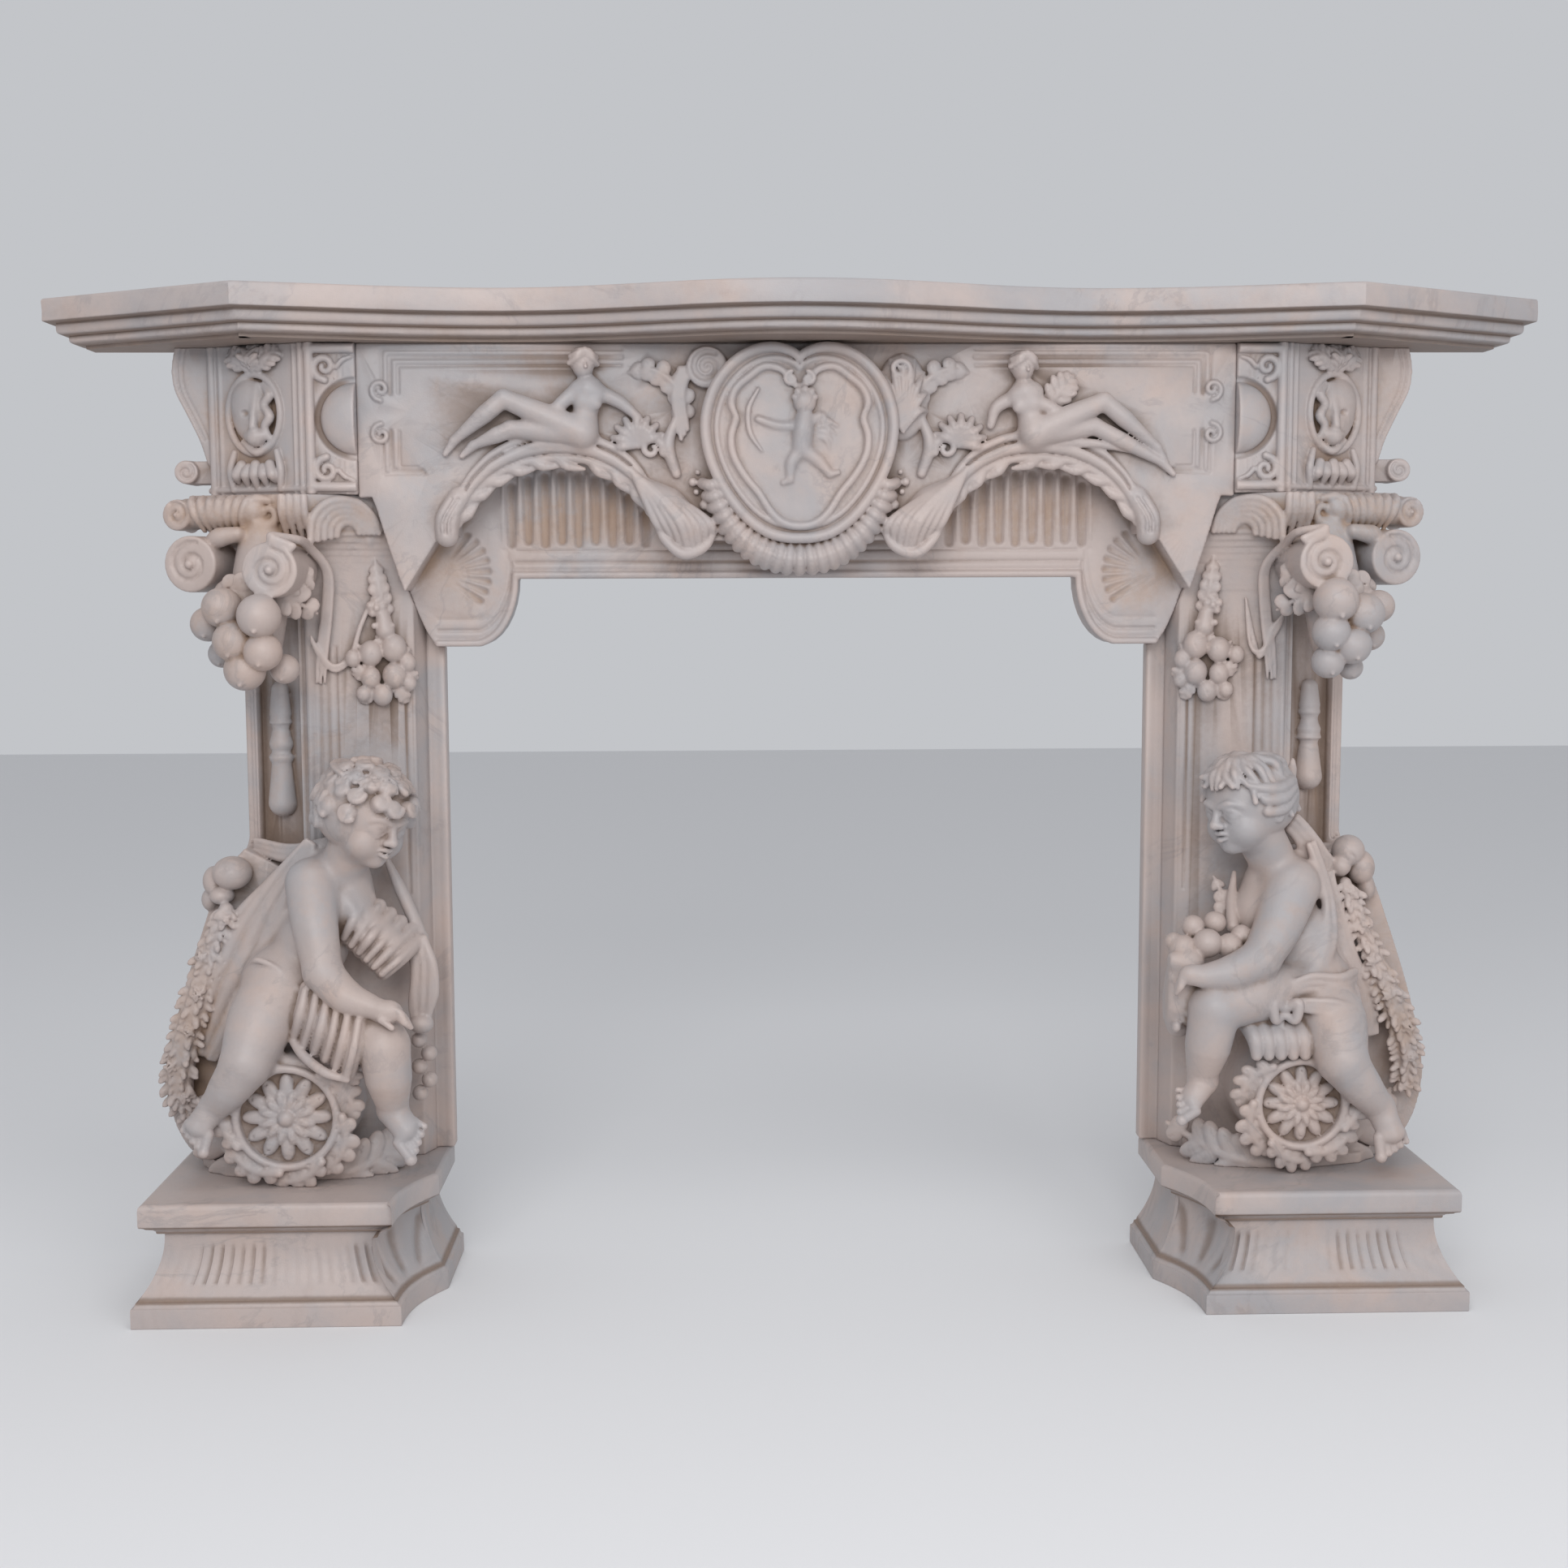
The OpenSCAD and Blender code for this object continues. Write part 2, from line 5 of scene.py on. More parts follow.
import bpy
import numpy as np
import openvdb
from mathutils import Matrix, Vector
from mathutils.geometry import tessellate_polygon


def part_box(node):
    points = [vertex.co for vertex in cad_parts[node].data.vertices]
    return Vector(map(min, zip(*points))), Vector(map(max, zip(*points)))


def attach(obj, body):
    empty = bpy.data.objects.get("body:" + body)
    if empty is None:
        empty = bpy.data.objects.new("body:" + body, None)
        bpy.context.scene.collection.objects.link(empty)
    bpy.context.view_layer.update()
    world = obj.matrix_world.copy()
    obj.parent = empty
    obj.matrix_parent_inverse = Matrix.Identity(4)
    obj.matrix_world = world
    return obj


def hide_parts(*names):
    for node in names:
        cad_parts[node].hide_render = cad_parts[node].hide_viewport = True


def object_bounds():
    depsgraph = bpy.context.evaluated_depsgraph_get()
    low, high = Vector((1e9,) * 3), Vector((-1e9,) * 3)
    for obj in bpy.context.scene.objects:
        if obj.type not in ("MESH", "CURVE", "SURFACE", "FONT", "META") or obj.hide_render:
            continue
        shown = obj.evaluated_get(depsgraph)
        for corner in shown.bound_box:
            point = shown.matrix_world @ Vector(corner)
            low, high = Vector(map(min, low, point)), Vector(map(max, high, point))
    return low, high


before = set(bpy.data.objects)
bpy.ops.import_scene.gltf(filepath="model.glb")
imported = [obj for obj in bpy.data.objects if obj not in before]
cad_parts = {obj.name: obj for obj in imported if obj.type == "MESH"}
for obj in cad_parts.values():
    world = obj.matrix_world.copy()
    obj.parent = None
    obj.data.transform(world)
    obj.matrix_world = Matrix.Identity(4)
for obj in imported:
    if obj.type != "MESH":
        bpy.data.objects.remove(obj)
cad_low, cad_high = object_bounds()

# ---------- sizes, in millimetres, read from the stones' boxes ----------

MM = 0.001
WALL_Y = cad_high.y / MM


def stone_box(node):
    """A stone's box in millimetres, with the wall at y = 0."""
    low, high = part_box(node)
    shift = np.array([0, WALL_Y, 0])
    return np.array(low) / MM - shift, np.array(high) / MM - shift


shelf_low, shelf_high = stone_box("shelf")
lintel_low, lintel_high = stone_box("lintel")
plinth_low, plinth_high = stone_box("plinth_right")

# distances from the middle of the mantel and heights from the floor
LEG_X = -stone_box("jamb_left")[1][0]
SHELF_HALF = shelf_high[0]
SHELF_Z = shelf_low[2]
SHELF_TOP = shelf_high[2]
JOINT_X = lintel_high[0]
BLOCK_Z = stone_box("corner_block_right")[0][2]
BRACKET_Z = lintel_low[2]
PLINTH_H = plinth_high[2]
JAMB_H = BLOCK_Z - PLINTH_H
FAR = 60.0  # distance that stands for empty space on a fresh grid

# ---------- carving on a grid of distances ----------


def vec(*values):
    return np.array(values, float)


def unit(v):
    return v / max(np.linalg.norm(v), 1e-9)


def lerp(a, b, t):
    return a + (b - a) * t


def soft_min(a, b, blend):
    """The nearer of two distances, with a fillet of about that size where they meet."""
    if blend <= 0:
        return np.minimum(a, b)
    h = np.maximum(blend - np.abs(a - b), 0) / blend
    return np.minimum(a, b) - h * h * blend * 0.25


def soft_max(a, b, blend):
    return -soft_min(-a, -b, blend)


class Block:
    """A block of marble: a grid of signed distances, negative inside the stone."""

    def __init__(self, low, high, pitch):
        self.low = vec(*low)
        self.pitch = pitch
        self.count = np.ceil((vec(*high) - self.low) / pitch).astype(int) + 1
        self.field = np.full(self.count, FAR, np.float32)

    def part(self, low, high):
        """The slices between two corners, and the x, y and z of their points."""
        first = np.floor((np.minimum(low, high) - self.low) / self.pitch).astype(int)
        last = np.ceil((np.maximum(low, high) - self.low) / self.pitch).astype(int) + 1
        first = np.clip(first, 0, self.count - 1)
        last = np.clip(last, first + 1, self.count)
        axes = [(self.low[k] + self.pitch * np.arange(first[k], last[k])).astype(np.float32)
                for k in range(3)]
        return tuple(slice(a, b) for a, b in zip(first,
                                                 last)), np.meshgrid(*axes, indexing="ij", sparse=True)

    def work(self, shape, low, high, blend, cut):
        """Joins a shape to the stone or cuts it out, within the box that holds it."""
        margin = blend + 2 * self.pitch
        where, at = self.part(low - margin, high + margin)
        if cut:
            self.field[where] = soft_max(self.field[where], -shape(*at), blend)
        else:
            self.field[where] = soft_min(self.field[where], shape(*at), blend)

    # simple shapes

    def bar(self, a, b, ra, rb, blend=3.0, cut=False):
        """A round bar between two points, with its own radius at each."""
        self.tube([a, b], [ra, rb], blend, cut)

    def groove(self, a, b, r, blend):
        """A straight round groove."""
        self.tube([a, b], r, blend, cut=True)

    def ball(self, p, r, blend=3.0):
        self.tube([p, p], r, blend)

    def tube(self, points, radii, blend=3.0, cut=False):
        """A round bar along several points; radii is one value or a few spread along it."""
        points = [vec(*p) for p in points]
        radii = [radii] * len(points) if np.isscalar(radii) else taper(radii, len(points))
        low = np.min([p - r for p, r in zip(points, radii)], axis=0)
        high = np.max([p + r for p, r in zip(points, radii)], axis=0)

        def shape(x, y, z):
            near = None
            for a, b, ra, rb in zip(points, points[1:], radii, radii[1:]):
                d = bar_distance(x, y, z, a, b, ra, rb)
                near = d if near is None else np.minimum(near, d)
            return near

        self.work(shape, low, high, blend, cut)

    def egg(self, p, radii, blend=3.0, turn=None, cut=False):
        """An ellipsoid; turn is a matrix whose rows are its own axes."""
        p, radii = vec(*p), vec(*radii)
        turn = np.eye(3) if turn is None else turn
        reach = np.sqrt(((turn * radii[:, None]) ** 2).sum(axis=0))

        def shape(x, y, z):
            dx, dy, dz = x - p[0], y - p[1], z - p[2]
            own = [turn[k][0] * dx + turn[k][1] * dy + turn[k][2] * dz for k in range(3)]
            k0 = np.sqrt(sum((own[k] / radii[k]) ** 2 for k in range(3)))
            k1 = np.sqrt(sum((own[k] / radii[k] ** 2) ** 2 for k in range(3)))
            return k0 * (k0 - 1) / np.maximum(k1, 1e-6)

        self.work(shape, p - reach, p + reach, blend, cut)

    def slab(self, outline, front, back, blend=1.0, cut=False):
        """A flat shape drawn in x and z, from y = -front to y = -back."""
        outline = np.array(outline, float)
        low = vec(outline[:, 0].min(), -front, outline[:, 1].min())
        high = vec(outline[:, 0].max(), -back, outline[:, 1].max())

        def shape(x, y, z):
            return np.maximum(polygon_distance(x, z, outline), np.maximum(-y - front, y + back))

        self.work(shape, low, high, blend, cut)

    def column(self, outline, bottom, top, blend=1.0, cut=False):
        """A flat shape drawn in x and y, from z = bottom to z = top."""
        outline = np.array(outline, float)
        low = vec(outline[:, 0].min(), outline[:, 1].min(), bottom)
        high = vec(outline[:, 0].max(), outline[:, 1].max(), top)

        def shape(x, y, z):
            return np.maximum(polygon_distance(x, y, outline), np.maximum(z - top, bottom - z))

        self.work(shape, low, high, blend, cut)

    def ring_groove(self, centre, r, thick, depth, front, back, blend):
        """A round groove around a centre in x and z, at y = -depth, cut from front to back only."""
        c = vec(*centre)

        def shape(x, y, z):
            radial = np.sqrt((x - c[0]) ** 2 + (z - c[1]) ** 2)
            return np.sqrt((radial - r) ** 2 + (y + depth) ** 2) - thick

        grow = r + thick
        low = vec(c[0] - grow, -front, c[1] - grow)
        high = vec(c[0] + grow, -back, c[1] + grow)
        self.work(shape, low, high, blend, cut=True)

    # finishing

    def keep_inside(self, low, high):
        """Cuts the block off flat at six planes."""
        at = self.part(self.low, self.low + self.pitch * self.count)[1]
        for k in range(3):
            np.maximum(self.field, low[k] - at[k], out=self.field)
            np.maximum(self.field, at[k] - high[k], out=self.field)

    def surface(self):
        """Points in millimetres and triangles of the stone's skin."""
        grid = openvdb.FloatGrid(FAR)
        grid.copyFromArray(np.clip(self.field, -8 * self.pitch, 8 * self.pitch))
        points, triangles, quads = grid.convertToPolygons(isovalue=0.0, adaptivity=0.0)
        faces = np.vstack([quads[:, [0, 1, 2]], quads[:, [0, 2, 3]], triangles.reshape(-1, 3)])
        points = points.astype(float) * self.pitch + self.low
        a, b, c = (points[faces[:, k]] for k in range(3))
        if np.einsum("ij,ij->i", a, np.cross(b, c)).sum() < 0:
            faces = faces[:, ::-1]
        return points, faces

    def crowding(self, reach):
        """How much of the space within reach of each grid point is stone, on every second grid line."""
        solid = np.clip(0.5 - self.field[::2, ::2, ::2] / (3 * self.pitch), 0, 1)
        steps = max(1, int(round(reach / (2 * self.pitch))))
        for axis in range(3):
            solid = box_blur(box_blur(solid, steps, axis), steps, axis)
        return solid

    def read(self, coarse, points):
        """Values of a coarse grid at points in millimetres."""
        at = (points - self.low) / (2 * self.pitch)
        at = np.clip(at, 0, np.array(coarse.shape) - 1.001)
        base = at.astype(int)
        f = at - base
        total = 0.0
        for corner in np.ndindex(2, 2, 2):
            weight = np.prod([f[:, k] if corner[k] else 1 - f[:, k] for k in range(3)], axis=0)
            i, j, k = (base + np.array(corner)).T
            total = total + weight * coarse[i, j, k]
        return total


def bar_distance(x, y, z, a, b, ra, rb):
    d = b - a
    length = max(float(d @ d), 1e-9)
    t = np.clip(((x - a[0]) * d[0] + (y - a[1]) * d[1] + (z - a[2]) * d[2]) / length, 0, 1)
    gap = (x - a[0] - d[0] * t) ** 2 + (y - a[1] - d[1] * t) ** 2 + (z - a[2] - d[2] * t) ** 2
    return np.sqrt(gap) - (ra + (rb - ra) * t)


def polygon_distance(u, v, outline):
    """Signed distance to a closed outline in a plane."""
    shape = np.broadcast(u, v).shape
    nearest = np.full(shape, 1e12, np.float32)
    inside = np.zeros(shape, bool)
    for a, b in zip(outline, np.roll(outline, -1, axis=0)):
        d = b - a
        length = float(d @ d)
        if length < 1e-9:
            continue
        t = np.clip(((u - a[0]) * d[0] + (v - a[1]) * d[1]) / length, 0, 1)
        nearest = np.minimum(nearest, (u - a[0] - d[0] * t) ** 2 + (v - a[1] - d[1] * t) ** 2)
        if a[1] != b[1]:
            crosses = ((v >= a[1]) != (v >= b[1])) & (u < a[0] + (v - a[1]) * d[0] / d[1])
            inside = inside ^ crosses
    return np.where(inside, -1, 1) * np.sqrt(nearest)


def box_blur(values, steps, axis):
    pad = [(0, 0)] * 3
    pad[axis] = (steps + 1, steps)
    total = np.cumsum(np.pad(values, pad, mode="edge"), axis=axis, dtype=np.float32)
    size = values.shape[axis]
    after = np.take(total, range(2 * steps + 1, 2 * steps + 1 + size), axis=axis)
    before = np.take(total, range(0, size), axis=axis)
    return (after - before) / (2 * steps + 1)


# ---------- curves ----------


def smooth_path(points, steps=6):
    """Extra points on a smooth curve through the given ones."""
    p = np.array(points, float)
    p = np.vstack([2 * p[0] - p[1], p, 2 * p[-1] - p[-2]])
    out = []
    for i in range(1, len(p) - 2):
        for t in np.arange(steps) / steps:
            a, b, c, d = p[i - 1], p[i], p[i + 1], p[i + 2]
            out.append(0.5 * (2 * b + (c - a) * t + (2 * a - 5 * b + 4 * c - d) * t * t
                              + (3 * b - a - 3 * c + d) * t ** 3))
    return out + [p[-2]]


def taper(values, count):
    """Values spread evenly over count points."""
    return np.interp(np.linspace(0, 1, count), np.linspace(0, 1, len(values)), values)


def run(block, points, radii, blend=3.0, cut=False, steps=6):
    """A tube along a smooth curve with radii that change along it."""
    block.tube(smooth_path(points, steps), radii, blend, cut)


# ---------- meshes ----------


def mesh_object(name, points, faces, shades):
    """A smooth-shaded object; shades are named values, one per point."""
    mesh = bpy.data.meshes.new(name)
    mesh.vertices.add(len(points))
    mesh.vertices.foreach_set("co", np.asarray(points, np.float32).ravel())
    sizes = np.full(len(faces), faces.shape[1])
    mesh.loops.add(int(sizes.sum()))
    mesh.loops.foreach_set("vertex_index", np.asarray(faces, np.int32).ravel())
    mesh.polygons.add(len(faces))
    mesh.polygons.foreach_set("loop_start", np.concatenate([[0], np.cumsum(sizes)[:-1]]).astype(np.int32))
    mesh.polygons.foreach_set("use_smooth", np.ones(len(faces), bool))
    mesh.update(calc_edges=True)
    mesh.validate()
    for key, values in shades.items():
        layer = mesh.attributes.new(key, "FLOAT", "POINT")
        layer.data.foreach_set("value", np.asarray(values, np.float32))
    made = bpy.data.objects.new(name, mesh)
    bpy.context.scene.collection.objects.link(made)
    return made


def thin_out(name, points, faces, most):
    """The same skin with at most that many triangles."""
    raw = mesh_object(name + "_raw", points, faces, {})
    if len(faces) > most:
        modifier = raw.modifiers.new("thin", "DECIMATE")
        modifier.ratio = most / len(faces)
    graph = bpy.context.evaluated_depsgraph_get()
    mesh = bpy.data.meshes.new_from_object(raw.evaluated_get(graph))
    co = np.zeros(len(mesh.vertices) * 3, np.float32)
    mesh.vertices.foreach_get("co", co)
    mesh.calc_loop_triangles()
    tris = np.zeros(len(mesh.loop_triangles) * 3, np.int32)
    mesh.loop_triangles.foreach_get("vertices", tris)
    bpy.data.objects.remove(raw)
    bpy.data.meshes.remove(mesh)
    return co.reshape(-1, 3).astype(float), tris.reshape(-1, 3)


SMALL_HOLLOW, WIDE_HOLLOW = 5.0, 16.0  # reach over which a hollow gathers dirt and painted shade


def stone_from_block(name, block, most, place, mirrored, rust):
    """Turns a carved block into its finished stone. place moves its millimetres into the mantel's frame.

    rust lists the brown-stained parts: centre, radii and strength."""
    points, faces = block.surface()
    points, faces = thin_out(name, points, faces, most)
    stained = np.zeros(len(points))
    for centre, radii, strength in rust:
        away = (((points - vec(*centre)) / vec(*radii)) ** 2).sum(axis=1)
        stained = np.maximum(stained, strength * np.exp(-away ** 2))
    small = block.read(block.crowding(SMALL_HOLLOW), points)
    wide = block.read(block.crowding(WIDE_HOLLOW), points)
    # recess darkens the hollows in the marble: partly grime, partly painted shade
    shades = {"recess": np.clip((small - 0.53) * 5, 0, 1) * 0.6 + np.clip((wide - 0.52) * 3.4, 0, 1) * 0.5,
              "edge": np.clip((0.44 - small) * 4.5, 0, 1), "rust": stained}
    placed = points + vec(*place)
    if mirrored:
        placed = placed * vec(-1, 1, 1)
        faces = faces[:, ::-1]
    placed = (placed + vec(0, WALL_Y, 0)) * MM
    return mesh_object(name, placed, faces, shades)


# ---------- shelf and plinths, swept from profiles ----------


def inset_path(path, d):
    """An open path along the wall, moved inwards by d; its two ends slide along the wall."""
    edges = np.diff(path, axis=0)
    normals = np.stack([-edges[:, 1], edges[:, 0]], axis=1)
    normals = normals / np.linalg.norm(normals, axis=1)[:, None]
    moved = path.copy()
    moved[0] = path[0] + [d, 0]
    moved[-1] = path[-1] - [d, 0]
    n, m = normals[:-1], normals[1:]
    moved[1:-1] = path[1:-1] + (n + m) * d / (1 + (n * m).sum(axis=1))[:, None]
    return moved


def divided(path, counts):
    """The path with each of its edges divided into that many equal steps."""
    out = [lerp(a, b, k / n) for a, b, n in zip(path, path[1:], counts) for k in range(n)]
    return np.array(out + [path[-1]])


def swept(path, profile, relief, gap):
    """Rings along the path for each step of the profile, closed at the wall, top and bottom."""
    corners = path
    counts = np.maximum(1, np.round(np.linalg.norm(np.diff(corners, axis=0), axis=1) / gap)).astype(int)
    path = divided(corners, counts)
    along = np.concatenate([[0], np.cumsum(np.linalg.norm(np.diff(path, axis=0), axis=1))])
    rings = []
    depth = []
    for d, z in profile:
        push = relief(along, z)
        ring = divided(inset_path(corners, d), counts)
        inner = divided(inset_path(corners, d + 1.0), counts)
        ring = ring + (inner - ring) * push[:, None]
        rings.append(np.column_stack([ring, np.full(len(path), z)]))
        depth.append(push)
    n, m = len(path), len(profile)
    points = np.vstack(rings)
    i = np.arange(n)
    faces = []
    for k in range(m - 1):
        a = k * n + i
        b = k * n + (i + 1) % n
        faces.append(np.column_stack([a, a + n, b + n]))
        faces.append(np.column_stack([a, b + n, b]))
    flat = tessellate_polygon([[Vector((*p[:2], 0)) for p in points[:n]]])
    lid = np.array([list(t) for t in flat])
    a, b, c = (points[lid[:, k], :2] for k in range(3))
    turned = (b - a)[:, 0] * (c - a)[:, 1] - (b - a)[:, 1] * (c - a)[:, 0] < 0
    lid[turned] = lid[turned][:, ::-1]
    faces.append(lid[:, ::-1])
    faces.append(lid + (m - 1) * n)
    return points, np.vstack(faces), np.concatenate(depth)


SHARP_ANGLE = 38  # degrees; sharper edges of a swept stone stay crisp


def stone_from_sweep(name, path, profile, place, mirrored, relief, hollows, gap):
    """A swept stone. hollows lists heights where the profile gets dirt and painted shade lines, with their
    reach.
    """
    points, faces, depth = swept(path, profile, relief, gap)
    z = points[:, 2]
    # recess darkens the flutes and the step lines as painted shade with some grime; the rust value follows
    # it
    recess = np.clip(depth * 0.22, 0, 0.8)
    for height, reach in hollows:
        recess = np.maximum(recess, np.exp(-((z - height) / reach) ** 2))
    recess[np.isclose(points[:, 1], 0)] = 0
    edge = np.clip(-depth * 0.2, 0, 1)
    placed = points + vec(*place)
    if mirrored:
        placed = placed * vec(-1, 1, 1)
        faces = faces[:, ::-1]
    placed = (placed + vec(0, WALL_Y, 0)) * MM
    made = mesh_object(name, placed, faces, {"recess": recess, "edge": edge, "rust": recess * 0.3})
    made.data.set_sharp_from_angle(angle=math.radians(SHARP_ANGLE))
    return made


def rounded_step(d0, z0, d1, z1, steps):
    """A quarter round from (d0, z0) to (d1, z1)."""
    turns = np.linspace(0, math.pi / 2, steps + 1)
    return [(lerp(d0, d1, math.sin(t)), lerp(z0, z1, 1 - math.cos(t))) for t in turns]


def cyma(d0, z0, d1, z1, steps):
    """A reversed curve between two points of a profile."""
    return [(lerp(d0, d1, ease(t)), lerp(z0, z1, t)) for t in np.linspace(0, 1, steps + 1)]


def ease(t):
    """A slow start and a slow end."""
    return (1 - math.cos(math.pi * t)) / 2


SHELF_CANT = 264  # width of each canted end
CORNER_X = SHELF_HALF - SHELF_CANT
HOLLOW_X = CORNER_X * 0.55
# how far the shelf stands out: in the middle, in its hollows, at its front corners and at its ends
BOW, HOLLOW, CORNER, END = 232, 152, 206, 62
SHELF_EDGE = 28  # height of the square edge over the mouldings
SHELF_GAP, PLINTH_GAP = 8.0, 2.6  # spacing of the points around the stone


def shelf_reach(x):
    """How far the shelf stands out from the wall at x."""
    x = abs(x)
    if x < HOLLOW_X:
        return lerp(BOW, HOLLOW, ease(x / HOLLOW_X))
    return lerp(HOLLOW, CORNER, ease((x - HOLLOW_X) / (CORNER_X - HOLLOW_X) * 0.72) / ease(0.72))


def make_shelf():
    """The moulded shelf, bowed in the middle, with canted ends."""
    thick = SHELF_TOP - SHELF_Z
    left = [vec(-SHELF_HALF, 0), vec(-SHELF_HALF, -END)]
    front = [vec(x, -shelf_reach(x)) for x in np.linspace(-CORNER_X, CORNER_X, 170)]
    right = [p * vec(-1, 1) for p in reversed(left)]
    path = np.array(left + front + right)
    slab = thick - SHELF_EDGE
    profile = [(60, 0), (44, 0), (44, 4), (34, 4.5)] + rounded_step(33, 5, 27, 9, 3)
    profile += [(27, 13.5), (27.5, 14.5), (22, 15)] + rounded_step(20, 15.5, 14, 20, 4)
    profile += [(13.5, 25.5), (14.5, slab - 2), (14.5, slab - 0.5), (2.5, slab)]
    profile += rounded_step(1.6, slab + 0.2, 0, slab + 2, 3)
    profile += [(0, slab + 12), (0, thick - 4), (0.4, thick - 2.2), (1.4, thick - 0.8), (3, thick)]

    def relief(along, z):
        """Slight unevenness of a hand-worked, worn edge."""
        wave = np.sin(along * 0.021 + z * 0.3) + np.sin(along * 0.057 + z * 0.7) * 0.6
        return 0.35 + 0.25 * wave

    # the three heights are dark lines of painted shade and grime under the steps of the mouldings
    return stone_from_sweep("shelf_stone", path, profile, (0, 0, SHELF_Z), False, relief,
                            ((14.6, 1.5), (slab - 1, 1.8), (2, 4)), SHELF_GAP)


PLINTH_FRONT = 264  # how far the plinth stands out


def make_plinth(name, mirrored):
    """Base slab, hollow die with worn flutes, and top slab, with a hollow cut inner front corner."""
    wide = plinth_high[0] - plinth_low[0] - 5
    corner = [vec(-5, -140) + t * vec(38, -124) + 11 * math.sin(math.pi * t) * unit(vec(124, 38))
              for t in np.linspace(0, 1, 40)]
    path = np.array([vec(-5, 0)] + corner + [vec(wide, -PLINTH_FRONT), vec(wide, 0)])
    die_low, die_high = 34, 105
    flute_pitch = 15.5
    profile = [(16, 0), (0.8, 0), (0, 1), (0, 10), (0, 22)] + rounded_step(0.3, 24, 5, 30, 3) + [(8, 31)]
    for t in np.linspace(0, 1, 30):
        z = lerp(die_low, die_high, t)
        profile.append((9 + 25 * (1 - (1 - t) ** 2.1), z))
    profile += [(33, 106.5), (27, 107.5), (26, 109), (26, 111)]
    profile += cyma(25, 111.5, 15, 117.5, 4) + [(13, 118.5)]
    profile += rounded_step(12, 119, 9.5, 122, 3) + [(9.5, 128), (9.5, PLINTH_H - 7)]
    profile += [(10.2, PLINTH_H - 3), (12, PLINTH_H - 1), (15, PLINTH_H)]
    edges = np.concatenate([[0], np.cumsum(np.linalg.norm(np.diff(path, axis=0), axis=1))])
    front_start, front_end = edges[-3], edges[-2]

    def relief(along, z):
        if not die_low < z < die_high + 1:
            return np.zeros(len(along))
        up = (z - die_low) / (die_high - die_low)
        fade = np.clip(up * 6, 0, 1) * np.clip((1 - up) * 5, 0, 1)
        s = along - front_start
        on_front = (along > front_start + 6) & (along < front_end - 6)
        worn = 0.45 + 0.55 * np.clip(np.sin(s * 0.031 + 1.1) + 0.55 * np.sin(s * 0.083), -0.6, 1)
        flute = np.clip(np.cos(s * 2 * math.pi / flute_pitch) + 0.15, 0, 1) * 2.6
        cap = np.where(up > 0.72, np.clip(1 - (up - 0.72) / 0.16, 0, 1), 1) * np.where(up < 0.2, 0, 1)
        back = on_front * flute * worn * cap * fade
        # rays of a leaf in the hollow corner
        t = (along - 140) / (front_start - 140)
        in_corner = (t > 0.06) & (t < 0.94)
        rays = np.cos((t - 0.5) * 16 / (0.55 + 0.6 * up))
        back = back + in_corner * fade * np.clip(rays, -0.4, 1) * 2.8
        return back

    # the three heights are dark lines of painted shade and grime at the steps of the mouldings
    return stone_from_sweep(name, path, profile, (LEG_X, 0, 0), mirrored, relief,
                            ((31.5, 3.5), (108, 3), (118.5, 2)), PLINTH_GAP)


# ---------- carving tools for ornament ----------


class Seat:
    """A place on a face to carve at: its own right, out and up."""

    def __init__(self, origin, out=(0, -1, 0), tilt=0.0):
        self.origin = vec(*origin)
        self.out = unit(vec(*out))
        right = unit(np.cross(vec(0, 0, 1), self.out))
        up = np.cross(self.out, right)
        c, s = math.cos(math.radians(tilt)), math.sin(math.radians(tilt))
        self.right = c * right + s * up
        self.up = c * up - s * right
        self.turn = np.array([self.right, self.out, self.up])

    def at(self, right, up, out=0.0):
        return self.origin + right * self.right + up * self.up + out * self.out


FRONT = Seat((0, 0, 0))  # for ornament placed by x, z and how far it stands out


def drum(block, a, b, r, blend, cut=False, ease_by=3.0):
    """A round bar with flat, slightly rounded ends."""
    a, b = vec(*a), vec(*b)
    length = np.linalg.norm(b - a)
    n = (b - a) / length
    reach = r * np.sqrt(np.maximum(1 - n * n, 0))
    low, high = np.minimum(a, b) - reach, np.maximum(a, b) + reach

    def shape(x, y, z):
        dx, dy, dz = x - a[0], y - a[1], z - a[2]
        t = dx * n[0] + dy * n[1] + dz * n[2]
        radial = np.sqrt(np.maximum(dx * dx + dy * dy + dz * dz - t * t, 0))
        return soft_max(radial - r, np.maximum(-t, t - length), ease_by)

    block.work(shape, low, high, blend, cut)


def line(block, seat, points, radii, blend=1.5):
    """A ridge on a face, along a smooth curve."""
    run(block, [seat.at(*p) for p in points], radii, blend, steps=5)


def coil(seat, centre, r, turns, start, way=1, eye=0.16, out=0.0):
    """Points of a spiral that winds in to its eye."""
    count = max(8, int(13 * turns))
    points = []
    for t in np.linspace(0, 1, count):
        a = math.radians(start) + way * 2 * math.pi * turns * t
        k = r * (eye + (1 - eye) * (1 - t) ** 1.15)
        points.append(seat.at(centre[0] + k * math.cos(a), centre[1] + k * math.sin(a), out))
    return points


def scroll(block, seat, centre, r, thick, turns, start, way):
    """A rolled end: a drum with a spiral groove and a round eye."""
    drum(block, seat.at(*centre, -thick), seat.at(*centre, 0), r, 2.0)
    block.tube(coil(seat, centre, r * 0.80, turns, start, way), 2.8, 1.0, cut=True)
    block.ball(seat.at(*centre, 0), r * 0.17, 1.0)


